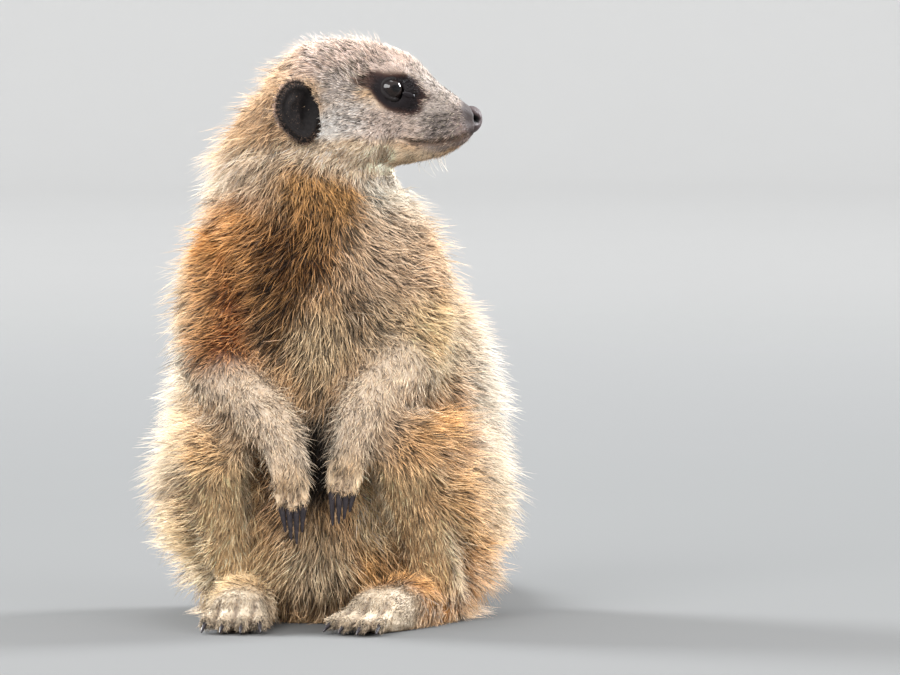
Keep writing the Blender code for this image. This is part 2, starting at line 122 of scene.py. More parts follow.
# The way the hair lies on each part.
LIE = {
    "head": (-1, 0, -0.25),
    "lower_jaw": (-1, 0, -0.45),
    "neck": (-0.05, 0, -1),
    "trunk": (0, 0.1, -1),
    "right_upper_arm": (-0.1, -0.4, -0.9),
    "left_upper_arm": (0.1, -0.4, -0.9),
    "right_forearm": (0.38, -0.55, -0.75),
    "left_forearm": (-0.32, -0.55, -0.78),
    "right_forepaw": (0.06, -0.2, -1),
    "left_forepaw": (-0.04, -0.2, -1),
    "right_thigh": (-0.3, 0.1, -1),
    "left_thigh": (0.3, 0.1, -1),
    "right_shank": (0.05, 0.2, -1),
    "left_shank": (0.1, 0.2, -1),
    "right_hind_foot": (-0.1, -1, -0.5),
    "left_hind_foot": (-0.45, -1, -0.5),
    "tail_base": (0.4, 1, -0.1),
    "tail_middle": (-0.25, 1, -0.05),
    "tail_tip": (-0.5, 1, -0.05),
}


# ---------------- small helpers


def srgb(red, green, blue):
    """A colour given as on a screen, 0 to 255, as linear light."""
    share = np.array((red, green, blue)) / 255
    return np.where(share <= 0.04045, share / 12.92, ((share + 0.055) / 1.055) ** 2.4)


def step(low, high, value):
    """From 0 at low to 1 at high, with soft ends."""
    share = np.clip((value - low) / (high - low), 0, 1)
    return share * share * (3 - 2 * share)


def band(value, low, full, last=1e3, high=2e3):
    """From 0 at low to 1 between full and last, and back to 0 at high."""
    return step(low, full, value) * (1 - step(last, high, value))


def bell(value):
    """From 1 at 0 down to nothing on both sides."""
    return np.exp(-(value**2))


def circle(count):
    """The turns of this many points spread evenly round a circle."""
    return np.linspace(0, 2 * math.pi, count + 1)[:-1]


def lengths(rows):
    return np.linalg.norm(rows, axis=1)


def unit(rows):
    """One direction, or rows of them, at length 1."""
    return rows / np.maximum(np.linalg.norm(rows, axis=-1, keepdims=True), 1e-9)


def waves(places, size, seed, count=14):
    """A soft random field from about -1 to 1 whose lumps are about this many millimetres across."""
    draw = np.random.default_rng(seed)
    ways = unit(draw.normal(size=(count, 3))) * (math.pi / size) * draw.uniform(0.6, 1.5, (count, 1))
    phase = draw.uniform(0, 2 * math.pi, count)
    return np.sin(places @ ways.T + phase).sum(1) * math.sqrt(2 / count)


def kind_of(node):
    """The name of a solid without its side."""
    return node.split("_", 1)[1] if node.startswith(("left_", "right_")) else node


def middle_of(node):
    """The middle of a solid's box, in millimetres."""
    low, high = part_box(node)
    return np.array((low + high) / 2) / MM


def link(name, mesh):
    made = bpy.data.objects.new(name, mesh)
    bpy.context.scene.collection.objects.link(made)
    return made


def evaluated(obj):
    graph = bpy.context.evaluated_depsgraph_get()
    return bpy.data.meshes.new_from_object(obj.evaluated_get(graph), depsgraph=graph)


def opened(mesh):
    """A mesh as a bmesh, to work on."""
    bm = bmesh.new()
    bm.from_mesh(mesh)
    return bm


def closed(bm, name):
    """A bmesh that is done, as a mesh."""
    mesh = bpy.data.meshes.new(name)
    bm.to_mesh(mesh)
    bm.free()
    return mesh


def placed(name, mesh, look, slot, *nodes):
    """The finished piece: it rides the one body, and stands for these solids."""
    mesh.materials.clear()
    mesh.materials.append(look)
    made = link(name, mesh)
    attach(made, "root")
    if nodes:
        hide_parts(*nodes)


def triangle_mesh(name, places, faces):
    """A mesh from places in millimetres and triangles."""
    mesh = bpy.data.meshes.new(name)
    mesh.vertices.add(len(places))
    mesh.vertices.foreach_set("co", (places * MM).astype(np.float32).ravel())
    mesh.loops.add(faces.size)
    mesh.loops.foreach_set("vertex_index", faces.astype(np.int32).ravel())
    mesh.polygons.add(len(faces))
    mesh.polygons.foreach_set("loop_start", np.arange(0, faces.size, 3, dtype=np.int32))
    mesh.update(calc_edges=True)
    mesh.shade_smooth()
    return mesh


def read_rows(rows, key, size, kind=np.float32):
    """One property of every vertex, edge, corner or point, as rows of this many numbers."""
    found = np.empty(len(rows) * size, kind)
    rows.foreach_get(key, found)
    return found.reshape(-1, size)


def places_of(mesh):
    return read_rows(mesh.vertices, "co", 3).astype(float) / MM


def normals_of(mesh):
    return read_rows(mesh.vertices, "normal", 3).astype(float)


def triangles_of(mesh):
    return read_rows(mesh.loops, "vertex_index", 1, np.int32).reshape(-1, 3)


def read_points(mesh, name):
    return read_rows(mesh.attributes[name].data, "value", 1)[:, 0].astype(float)


def paint_points(mesh, name, colours):
    layer = mesh.color_attributes.new(name, "FLOAT_COLOR", "POINT")
    layer.data.foreach_set("color", np.c_[colours, np.ones(len(colours))].astype(np.float32).ravel())


def blurred(values, edges, rounds, share=1.0):
    """Each value moved towards the mean of its neighbours, this many times."""
    a, b = edges.T
    count = len(values)
    near = np.maximum(np.bincount(a, minlength=count) + np.bincount(b, minlength=count), 1)
    rows = values.reshape(count, -1).copy()
    pull = np.broadcast_to(share, count)
    for _ in range(rounds):
        for k in range(rows.shape[1]):
            column = rows[:, k]
            total = np.bincount(a, column[b], count) + np.bincount(b, column[a], count)
            rows[:, k] = column + pull * (total / near - column)
    return rows.reshape(values.shape)


# ---------------- the head's own directions

RIGHT_EYE, LEFT_EYE = middle_of("right_eye"), middle_of("left_eye")
UP = np.array((0.0, 0.0, 1.0))
LEFTWARD = unit(LEFT_EYE - RIGHT_EYE)
FORWARD = np.cross(LEFTWARD, UP)
SKULL = (RIGHT_EYE + LEFT_EYE) / 2 - FORWARD * EYE_FORWARD - UP * EYE_UP
RIGHT_EYE += FORWARD * EYE_SHIFT[0] + UP * EYE_SHIFT[1]
LEFT_EYE += FORWARD * EYE_SHIFT[0] + UP * EYE_SHIFT[1]


def in_head(places):
    """Forward, to the animal's left, and up, from the middle of the skull."""
    away = places - SKULL
    return away @ FORWARD, away @ LEFTWARD, away @ UP


def from_head(forward, left, up):
    """The places this far forward, left and up from the middle of the skull."""
    rows = np.multiply.outer(forward, FORWARD) + np.multiply.outer(left, LEFTWARD)
    return SKULL + rows + np.multiply.outer(up, UP)


def off_line(forward, up, line):
    """The distance from places on the side of the head to a line of points."""
    nearest = np.full(np.shape(forward), 1e9)
    for (f0, u0), (f1, u1) in zip(line, line[1:]):
        run = np.array((f1 - f0, u1 - u0))
        share = np.clip(((forward - f0) * run[0] + (up - u0) * run[1]) / (run @ run), 0, 1)
        gap = np.hypot(forward - f0 - share * run[0], up - u0 - share * run[1])
        nearest = np.minimum(nearest, gap)
    return nearest


# ---------------- markings, with painted light and shade

TAN = srgb(206, 170, 132)
GREY_TAN = srgb(136, 115, 97)
CREAM = srgb(240, 224, 200)
DARK_BAND = srgb(62, 42, 30)
BLACK = srgb(34, 28, 28)


def patch(places, middle, half, soft=0.5, turn=0):
    """How far places lie inside an oval: 1 within, 0 without, soft between. Turned about Y."""
    away = places - np.array(middle, float)
    c, s = math.cos(math.radians(turn)), math.sin(math.radians(turn))
    x, z = away[:, 0] * c + away[:, 2] * s, away[:, 2] * c - away[:, 0] * s
    far = np.sqrt((x / half[0]) ** 2 + (away[:, 1] / half[1]) ** 2 + (z / half[2]) ** 2)
    return 1 - step(1 - soft, 1 + soft, far)


# Body patches: middle, half sizes, colour, strength, and softness and turn where not usual.
BODY_PATCHES = [
    # the collar, whose pale hair is painted brighter still for the rim light on it, and the throat
    ((-24, -12, 167), (22, 30, 14), srgb(255, 232, 206) * 1.2, 0.92),
    ((-2, -24, 163), (18, 20, 13), srgb(152, 108, 56), 0.95),
    ((25, -20, 160), (12, 28, 30), srgb(202, 195, 180), 1.0, 0.4, -10),
    # the orange shoulder and arm
    ((-32, -16, 138), (23, 34, 22), srgb(188, 118, 46), 0.97, 0.4, 10),
    ((-38, -24, 112), (17, 30, 24), srgb(120, 54, 8), 0.97, 0.4, -4),
    ((-47, -20, 130), (8, 30, 26), srgb(226, 166, 104), 0.6, 0.5, 4),
    # the dark chest
    ((-10, -38, 142), (21, 30, 19), srgb(77, 44, 14), 0.97, 0.45, 20),
    ((-14, -42, 118), (11, 26, 22), srgb(70, 43, 17), 0.96, 0.45),
    ((6, -34, 149), (14, 24, 8), srgb(110, 76, 42), 0.6),
    ((-26, -30, 131), (8, 26, 9), srgb(84, 54, 26), 0.6),
    # the grey side of the chest and the left arm
    ((25, -26, 132), (18, 36, 26), srgb(212, 186, 160), 0.9, 0.45, -12),
    ((22, -40, 112), (16, 26, 14), srgb(202, 180, 150), 0.85),
    ((38, -20, 106), (9, 26, 16), srgb(255, 226, 180), 0.85),
    ((10, -40, 118), (9, 26, 9), srgb(58, 40, 26), 0.85, 0.5, 20),
    # low chest and belly, the low belly's pale hair painted brighter still to lift the shade low between
    # the legs
    ((-1, -46, 106), (11, 26, 17), srgb(222, 200, 166), 0.9, 0.4),
    ((-1, -44, 66), (11, 24, 24), srgb(20, 15, 12), 0.98, 0.35),
    ((-4, -46, 22), (17, 26, 19), srgb(255, 232, 198), 0.9),
    # the haunches
    ((46, -14, 72), (26, 40, 15), srgb(162, 114, 62), 0.92),
    ((48, -14, 46), (24, 44, 18), srgb(214, 168, 116), 0.92),
    ((46, -14, 14), (30, 44, 17), srgb(192, 126, 52), 0.92),
    ((-46, -14, 58), (24, 40, 24), srgb(226, 190, 144), 0.85),
    ((-42, -14, 22), (24, 40, 20), srgb(255, 228, 184) * 1.15, 0.92),
    # the pale flanks: their own pale hair, and painted rim light on the animal's sides
    ((66, 0, 104), (17, 40, 52), srgb(250, 240, 226), 0.88, 0.6, -8),
    ((72, 0, 46), (12, 60, 40), srgb(248, 226, 196), 0.75, 0.6),
    ((-62, 0, 92), (15, 60, 40), srgb(252, 234, 206), 0.85, 0.6, 6),
    ((-54, 0, 132), (8, 60, 24), srgb(250, 220, 186), 0.8, 0.6, 12),
]
# Painted shade in the folds beside the shins, light hair between them, painted brighter than its own colour
# to lift the shade there, and a pale elbow, laid over the limbs' colours.
FOLD_SHADE_AND_LIGHT_PATCHES = [
    # painted shade in the folds beside the shins
    ((28, -40, 22), (3.6, 20, 13), srgb(72, 50, 30), 0.5, 0.5, 4),
    ((21.5, -40, 28), (2.6, 20, 8), srgb(84, 58, 34), 0.7, 0.5, 4),
    ((38, -36, 47), (5, 20, 9), srgb(134, 94, 58), 0.6),
    ((14.5, -40, 25), (5, 20, 10), srgb(240, 170, 92), 0.75),
    # light hair, painted well above its own colour as light that lifts the shade between the belly and the
    # shin
    ((17, -40, 44), (6, 20, 14), srgb(255, 230, 188) * 2.2, 0.9),
    ((-54, -12, 98), (7, 40, 15), srgb(255, 242, 220), 0.8),
    ((-16, -30, 50), (5, 20, 15), srgb(96, 72, 52), 0.7, 0.5, 20),
]
LIMB_COLOURS = {
    "forearm": srgb(235, 214, 190),
    "forepaw": srgb(208, 184, 154),
    # the shanks' light hair, painted brighter still as light that lifts the shade between the belly and the
    # shins
    "shank": srgb(255, 222, 176) * 1.15,
    "hind_foot": srgb(194, 182, 163),
}
KINDS = (*LIMB_COLOURS, "tail_middle")  # the parts whose hold on each place is blurred and kept
GOLD = srgb(226, 176, 116)

# Bands on the head, laid in turn: colour, then where each starts and ends, ahead and up.
HEAD_BANDS = [
    (srgb(190, 169, 156), (-16, 0, 40, 46), (3, 12)),
    (srgb(178, 164, 154), (0, 5, 14, 20), (-4, 2, 9, 13)),
    (srgb(222, 210, 200), (2, 7, 18, 28), (-16, -11, -3, 3)),
    (srgb(228, 220, 212), (-1, 3, 7, 13), (-17, -13, -8, -2)),
    (srgb(190, 172, 160), (15, 23), (-18, -12, -5, -1)),
    (srgb(184, 170, 160), (32, 40), (-12, -3)),
]


def painter(first, places):
    """One colour at all places, and the function that lays another over it by a share at each."""
    colours = first + np.zeros_like(places)

    def lay(colour, share):
        colours[:] += (colour - colours) * np.clip(share, 0, 1)[:, None]

    return colours, lay


def body_colours(places, limbs):
    """The coat's colour off the head, with painted light and shade laid into it. limbs holds how much each
    place belongs to a kind of limb.
    """
    x, y, z = places.T
    back = step(6, 26, y)
    colours, lay = painter(TAN, places)
    for middle, half, colour, strength, *shape in BODY_PATCHES:
        lay(colour, patch(places, middle, half, *shape) * strength * (1 - 0.8 * back))
    sleeve = step(90, 105, z) * (x < 0)
    for kind, colour in LIMB_COLOURS.items():
        lay(colour, limbs[kind] * 0.85 * (1 - sleeve))
    for middle, half, colour, strength, *shape in FOLD_SHADE_AND_LIGHT_PATCHES:
        lay(colour, patch(places, middle, half, *shape) * strength)
    # painted shade in the grooves between the toes
    lay(srgb(92, 74, 64), toe_grooves(places) * 0.75)
    lay(GREY_TAN, back * (0.85 - 0.5 * step(150, 180, z)))
    ripple = np.sin((z + 3.5 * waves(places, 26, 11)) * 2 * math.pi / 13.5)
    bands = step(0.25, 0.8, ripple) * step(16, 32, y) * band(z, 28, 44, 128, 146)
    lay(DARK_BAND, bands * 0.9 * (1 - 0.5 * step(24, 56, np.abs(x))) * (y < 75))
    lay(srgb(158, 129, 99), step(52, 66, y) * 0.85)
    lay(DARK_BAND, limbs["tail_middle"] * 0.2)
    lay(BLACK, step(196, 222, y))
    return colours


def head_colours(places):
    """The coat's colour on the head, from the nape to the nose, with the dark round the eyes and painted
    light under the jaw and on the throat.
    """
    f, s, u = in_head(places)
    colours, lay = painter(srgb(200, 168, 134), places)
    blotch = waves(places, 5, 31)
    side = step(3, 7, np.abs(s))
    lay(srgb(216, 184, 152), (1 - step(-16, 4, f)) * 0.8)
    for colour, ahead, high in HEAD_BANDS:
        lay(colour, band(f, *ahead) * band(u, *high))

    # the dark side of the muzzle, the jaw's underside, and the cheek as it runs into the throat, painted
    # brighter than its pale hair to lift the shade under the jaw, and the pale throat with painted
    # backlight on it
    lay(srgb(128, 117, 111), step(33, 44, f) * (1 - step(-8, -1, u)) * side * 0.95)
    lay(srgb(112, 97, 92), step(47, 56, f) * (1 - step(-3, 1, u + 0.3 * (f - 50))))
    under = 1 - step(-20.5, -16.8, u + 0.12 * (f - 36))
    lay(srgb(204, 184, 158), under * step(12, 24, f))
    lay(srgb(186, 171, 152), under * step(44, 54, f) * 0.9)
    # painted light on the cheek's pale hair, lifting the shade under the jaw
    lay(srgb(255, 230, 200) * 1.5, (1 - step(-20, -12, u)) * (1 - step(25, 35, f)) * 0.95)
    # the throat's pale hair, painted near white for the backlight on it
    lay(srgb(252, 238, 220), (1 - step(-30, -25, u)) * step(6, 14, f))

    # the spots the whiskers grow from, and the lips
    lay(srgb(44, 36, 34), whisker_spots(f, s, u) * 0.9)
    over = u - np.interp(f, [p[0] for p in MOUTH[::-1]], [p[1] for p in MOUTH[::-1]])
    edge = np.where(over > 0, 3.2 + 0.8 * blotch, 1.7 - 0.9 * step(48, 54, f) + 0.4 * blotch)
    lip = (1 - step(0.35 * edge, edge, off_line(f, u, MOUTH))) * step(30, 36, f)
    lay(srgb(92, 74, 63), lip * 0.88)

    # the dark patch round the eye, and the bare pad round the nose
    ahead, high = f - EYE_PATCH_PLACE[0], u - EYE_PATCH_PLACE[1]
    along = ahead * math.cos(EYE_PATCH_TILT) + high * math.sin(EYE_PATCH_TILT)
    above = high * math.cos(EYE_PATCH_TILT) - ahead * math.sin(EYE_PATCH_TILT)
    taper = np.where(above > 0, 6.9, np.clip(6.4 + 0.34 * along, 3.4, 8.8))
    ring = np.sqrt(((along - 0.3) / 12.0) ** 2 + (above / taper) ** 2) + 0.09 * blotch
    lay(srgb(70, 46, 38), (1 - step(0.86, 1.22, ring)) * step(5, 8, np.abs(s)))
    lay(srgb(26, 20, 22), (1 - step(0.7, 1.02, ring)) * step(5, 8, np.abs(s)))
    pad = step(53.6, 56.0, f + 0.25 * (u + 7)) * step(-15.5, -13.5, u)
    lay(srgb(60, 50, 49), pad * 0.9)

    # short hair shows more of the dark skin between it
    short = step(-14, 10, f) * step(-13, -5, u)
    return colours * (1 - 0.26 * short - 0.12 * short * step(26, 42, f))[:, None]


def whisker_spots(f, s, u):
    """Short rows of dark spots on the side of the muzzle."""
    row = (u + 13.4 - 0.12 * (f - 46)) / 2.2
    column = f / 2.8 + 0.5 * (np.floor(row) % 2)
    off = np.hypot(column % 1 - 0.5, row % 1 - 0.5)
    inside = band(f, 39, 42, 50, 53) * band(row, 0, 0.3, 3.7, 4)
    return (1 - step(0.2, 0.44, off)) * inside * step(4, 6, np.abs(s))


def toe_grooves(places):
    """From 0 off the toes to 1 in the grooves between them."""
    deepest = np.zeros(len(places))
    for start, way, flat in TOE_GAPS:
        away = places - start
        along = away @ way
        off = away - along[:, None] * way
        across = off[:, :2] if flat else off[:, ::2]
        gap = lengths(across * (1, 0.15) if flat else across)
        near = band(along, -8, -4, 9, 20) * (lengths(off) < 12)
        deepest = np.maximum(deepest, bell(gap / 0.9) * near)
    return deepest


def markings_and_painted_light(places, limbs):
    """Skin and coat read their colour here, so both carry the same pattern and the same painted light and
    shade.
    """
    head = step(-5, 4, (places - np.array((8.0, 0, 168.0))) @ unit(np.array((0.36, 0, 1))))
    return body_colours(places, limbs) * (1 - head[:, None]) + head_colours(places) * head[:, None]


# ---------------- the skin


def toe_gaps():
    """Between each two toes, where the groove starts and the way it runs back."""
    found = []
    for paw, way in TOE_WAYS.items():
        side, kind = paw.split("_", 1)
        claws = [middle_of(f"{side}_{kind}_claw_{k}") for k in range(1, 5)]
        along = unit(np.array(way, float))
        for one, other in zip(claws, claws[1:]):
            found.append(((one + other) / 2, -along, kind == "hind"))
    return found


TOE_GAPS = toe_gaps()


def flesh_names():
    bare = ("eye", "nose", "claw", "ear")
    return sorted(n for n in NODES if not any(word in kind_of(n).split("_") for word in bare))


def fattened(node, bm):
    """Adds a copy of a solid to bm, grown a little so that it runs into its neighbours."""
    piece = opened(NODES[node].data)
    bmesh.ops.remove_doubles(piece, verts=piece.verts, dist=MERGE)
    piece.normal_update()
    grown = [v.co + v.normal * FATTEN * MM for v in piece.verts]
    for vertex, place in zip(piece.verts, grown):
        vertex.co = place
    bm.from_mesh(closed(piece, "grown"))


def oval(centre, half, turn):
    """A ball stretched to these half sizes in millimetres, then turned."""
    bm = bmesh.new()
    bmesh.ops.create_uvsphere(bm, u_segments=24, v_segments=14, radius=1)
    sized = Matrix.Diagonal([h * MM for h in half]).to_4x4()
    place = Matrix.Translation(Vector(centre) * MM) @ turn @ sized
    bmesh.ops.transform(bm, verts=bm.verts, matrix=place)
    ball = closed(bm, "ball")

    # Blender lists a new ball's faces in another order each time, so they get a fixed one here.
    faces = sorted(list(face.vertices) for face in ball.polygons)
    made = bpy.data.meshes.new("oval")
    made.from_pydata([v.co for v in ball.vertices], [], faces)
    return made


def ear_turn(side):
    """The turn from the ear's own directions, ahead, to the left and up, to the world's."""
    head_turn = Matrix((tuple(FORWARD), tuple(LEFTWARD), tuple(UP))).transposed().to_4x4()
    return head_turn @ Matrix.Rotation(EAR_YAW * side, 4, "Z") @ Matrix.Rotation(EAR_ROLL * side, 4, "X")


def ear_axes(side):
    return np.array(ear_turn(side).to_3x3())


def ear_middle(side):
    return from_head(EAR_PLACE[0], EAR_PLACE[1] * side, EAR_PLACE[2])


def whole_surface():
    """All the flesh as one closed surface, before the coat's depth is taken off."""
    bm = bmesh.new()
    for node in flesh_names():
        fattened(node, bm)
    for side, _ in SIDES:
        inward = ear_middle(side) - side * LEFTWARD * EAR_FILL_SINK
        bm.from_mesh(oval(inward, (EAR_HALF[0] + 0.8, EAR_FILL_HALF, EAR_HALF[2] + 0.8), ear_turn(side)))
    obj = link("joined", closed(bm, "joined"))
    remesh = obj.modifiers.new("fuse", "REMESH")
    remesh.mode = "VOXEL"
    remesh.voxel_size = VOXEL * MM
    fused = evaluated(obj)
    bpy.data.objects.remove(obj)
    return fused


def nearest_nodes(places):
    """The solid that each place lies nearest to, as an index into flesh_names()."""
    corners, faces, owner = [], [], []
    for index, node in enumerate(flesh_names()):
        mesh = NODES[node].data
        first = len(corners)
        corners += [v.co / MM for v in mesh.vertices]
        for face in mesh.polygons:
            faces.append([first + k for k in face.vertices])
            owner.append(index)
    tree = BVHTree.FromPolygons(corners, faces)
    return np.array([owner[tree.find_nearest(place)[2]] for place in places.tolist()])


def eye_distance(places):
    return np.minimum(lengths(places - RIGHT_EYE), lengths(places - LEFT_EYE))


def face_share(places):
    """From 0 at the cheeks and crown to 1 on the muzzle."""
    f, _, u = in_head(places)
    return step(16, 50, f) * step(-32, -26, u)


def fanned(lie, places, limbs):
    """On the trunk and haunches the hair parts at the middle of the front and runs outward."""
    x, y, z = places.T
    body = band(z, 4, 20, 150, 172) * (1 - step(50, 70, y))
    body = body * (1 - np.clip(limbs[:, 0] * 0.8 + limbs[:, 1] + limbs[:, 2] + limbs[:, 3], 0, 1))
    lie = lie.copy()
    lie[:, 0] += body * np.clip((x + 2) / 25, -1.7, 1.7)
    return lie


def hair_fields(places, edges):
    """The part each place belongs to, and its row of COAT, limb shares and lie, blurred at borders."""
    names = flesh_names()
    coarse = slice(None, None, 4)
    owner = np.zeros(len(places), int)
    owner[coarse] = nearest_nodes(places[coarse]) + 1
    a, b = edges.T
    for _ in range(6):
        for one, other in ((a, b), (b, a)):
            empty = owner[one] == 0
            owner[one[empty]] = owner[other[empty]]
    owner = np.maximum(owner - 1, 0)

    values = np.array([COAT[kind_of(n)] for n in names], float)[owner]
    lie = unit(np.array([LIE.get(n) or LIE[kind_of(n)] for n in names], float))[owner]
    limbs = np.array([[kind_of(n) == kind for kind in KINDS] for n in names], float)[owner]
    table = blurred(np.c_[values, limbs, lie], edges, 90)
    values, limbs, lie = table[:, :4], table[:, 4:9], table[:, 9:]
    heel = limbs[:, 3] * step(-52, -40, places[:, 1])
    values[:, 1] += heel * 4.5
    values[:, 2] += heel * 8
    limbs[:, 3] -= heel
    nape = step(-2, -16, in_head(places)[0]) * step(168, 176, places[:, 2])
    values[:, 0] = np.maximum(values[:, 0], 4.4 * nape)
    values[:, 1] += 2.6 * nape
    return owner, values, limbs, fanned(lie, places, limbs)


def sunk(places, normals, edges, depth):
    """The surface taken in by the coat's depth, with the crease of the mouth and the toes' grooves."""
    f, s, u = in_head(places)
    face = face_share(places)
    by_eye = 1 - step(7.5, 13, eye_distance(places))
    depth = depth * (1 - face) + 0.35 * face
    depth = depth * (1 - by_eye) + 0.25 * by_eye
    soles = 1 - step(0.6, 5, places[:, 2])
    depth = np.where(places[:, 1] > 40, depth, depth * (1 - 0.75 * soles))
    calm = np.clip(step(0.5, 4, depth), 0.08, 0.6) * (1 - by_eye)
    inner = blurred(places - normals * depth[:, None], edges, 14, calm)

    gap = off_line(f, u, MOUTH)
    beside = step(1.5, 4, np.abs(s) + np.maximum(f - 54, 0))
    crease = bell(gap / 0.75) * 0.85 - bell((gap - 1.9) / 1.1) * 0.22
    inner -= normals * (crease * beside * step(28, 33, f))[:, None]
    inner -= normals * (1.1 * toe_grooves(inner))[:, None]
    inner[:, 2] = np.maximum(inner[:, 2], FLOOR_CLEARANCE)
    return inner


def thinned(mesh, fine):
    """The mesh in fewer triangles, with more of them left where fine is nearer 1."""
    obj = link("skin", mesh)
    group = obj.vertex_groups.new(name="broad")
    level = np.round((1 - fine) * 4).astype(int)
    for k in range(5):
        group.add(np.nonzero(level == k)[0].tolist(), 0.08 + 0.92 * k / 4, "REPLACE")
    thin = obj.modifiers.new("thin", "DECIMATE")
    thin.ratio = SKIN_TRIANGLES / (2 * len(mesh.polygons))
    thin.vertex_group = "broad"
    thin.vertex_group_factor = 0.05
    done = evaluated(obj)
    bpy.data.objects.remove(obj)
    bm = opened(done)
    bmesh.ops.triangulate(bm, faces=bm.faces)
    return closed(bm, "skin")


def make_skin():
    """One skin for all the flesh, whose points carry what the hair on them is like."""
    mesh = whole_surface()
    places, edges = places_of(mesh), read_rows(mesh.edges, "vertices", 2, np.int32)
    normals = unit(blurred(normals_of(mesh), edges, 6))
    owner, values, limbs, lie = hair_fields(places, edges)
    inner = sunk(places, normals, edges, values[:, 0])
    mesh.vertices.foreach_set("co", (inner * MM).astype(np.float32).ravel())
    mesh.update()
    for name, column in (
        ("length", values[:, 1]),
        ("lift", values[:, 2]),
        ("width", values[:, 3]),
        *((f"limb_{k}", limbs[:, k]) for k in range(limbs.shape[1])),
        *((f"lie_{k}", lie[:, k]) for k in range(3)),
        ("owner", owner.astype(float)),
    ):
        layer = mesh.attributes.new(name, "FLOAT", "POINT")
        layer.data.foreach_set("value", column.astype(np.float32))
    muzzle = step(10, 26, in_head(places)[0]) * step(160, 172, inner[:, 2])
    return thinned(mesh, np.maximum(muzzle, np.clip(limbs[:, 1] + limbs[:, 3], 0, 1)))


# ---------------- materials


def new_material(name):
    made = bpy.data.materials.new(name)
    made.use_nodes = True
    tree = made.node_tree
    return made, tree, tree.nodes["Principled BSDF"]


def add(tree, kind, **values):
    """A new shader node with these settings and values on its sockets."""
    node = tree.nodes.new(kind)
    for key, value in values.items():
        if hasattr(node, key):
            setattr(node, key, value)
        else:
            node.inputs[key.replace("_", " ")].default_value = value
    return node


def noise(tree, scale, detail=4.0, rough=0.6):
    """Noise over the object's own coordinates; scale is in lumps per metre."""
    place = add(tree, "ShaderNodeTexCoord")
    made = add(tree, "ShaderNodeTexNoise", Scale=scale, Detail=detail, Roughness=rough)
    tree.links.new(place.outputs["Object"], made.inputs["Vector"])
    return made.outputs["Fac"]


def spread(tree, source, low, high):
    """source from 0.3 to 0.7 moved to the range from low to high."""
    made = add(tree, "ShaderNodeMapRange")
    made.inputs["From Min"].default_value = 0.3
    made.inputs["From Max"].default_value = 0.7
    made.inputs["To Min"].default_value = low
    made.inputs["To Max"].default_value = high
    tree.links.new(source, made.inputs["Value"])
    return made.outputs["Result"]


def scaled(tree, colour, factor):
    """colour times a number."""
    made = add(tree, "ShaderNodeVectorMath", operation="SCALE")
    tree.links.new(colour, made.inputs[0])
    tree.links.new(factor, made.inputs["Scale"])
    return made.outputs["Vector"]


def finish(tree, shader, rough, rough_scale, bump, bump_noise, values):
    """Noise in the roughness and the height, and constants on the shader's own sockets."""
    tree.links.new(spread(tree, noise(tree, rough_scale), *rough), shader.inputs["Roughness"])
    strength, distance = bump
    made = add(tree, "ShaderNodeBump", Strength=strength, Distance=distance)
    tree.links.new(bump_noise, made.inputs["Height"])
    tree.links.new(made.outputs["Normal"], shader.inputs["Normal"])
    for key, value in values.items():
        shader.inputs[key.replace("_", " ")].default_value = value


def painted_material(name, scale, swing, rough, bump, rough_scale=None, bump_scale=None, **values):
    """A surface whose colour is painted on its points, with noise in its shade, gloss and height."""
    made, tree, shader = new_material(name)
    painted = add(tree, "ShaderNodeVertexColor", layer_name="markings_and_painted_light")
    shade = spread(tree, noise(tree, scale), 1 - swing, 1 + swing)
    tree.links.new(scaled(tree, painted.outputs["Color"], shade), shader.inputs["Base Color"])
    height = noise(tree, bump_scale or scale * 1.7)
    finish(tree, shader, rough, rough_scale or scale, bump, height, {"Specular_IOR_Level": 0.2, **values})
    return made


def grown_material(name, scale, colour, other, rough, bump):
    """A surface whose colour runs between two by noise."""
    made, tree, shader = new_material(name)
    mix = add(tree, "ShaderNodeMix", data_type="RGBA")
    mix.inputs[6].default_value = (*colour, 1)
    mix.inputs[7].default_value = (*other, 1)
    tree.links.new(spread(tree, noise(tree, scale), 0, 1), mix.inputs[0])
    tree.links.new(mix.outputs[2], shader.inputs["Base Color"])
    values = {"IOR": 1.4, "Specular_IOR_Level": 0.3}
    finish(tree, shader, rough, scale * 0.6, bump, noise(tree, scale * 2.2, 5.0), values)
    return made


# ---------------- tufts


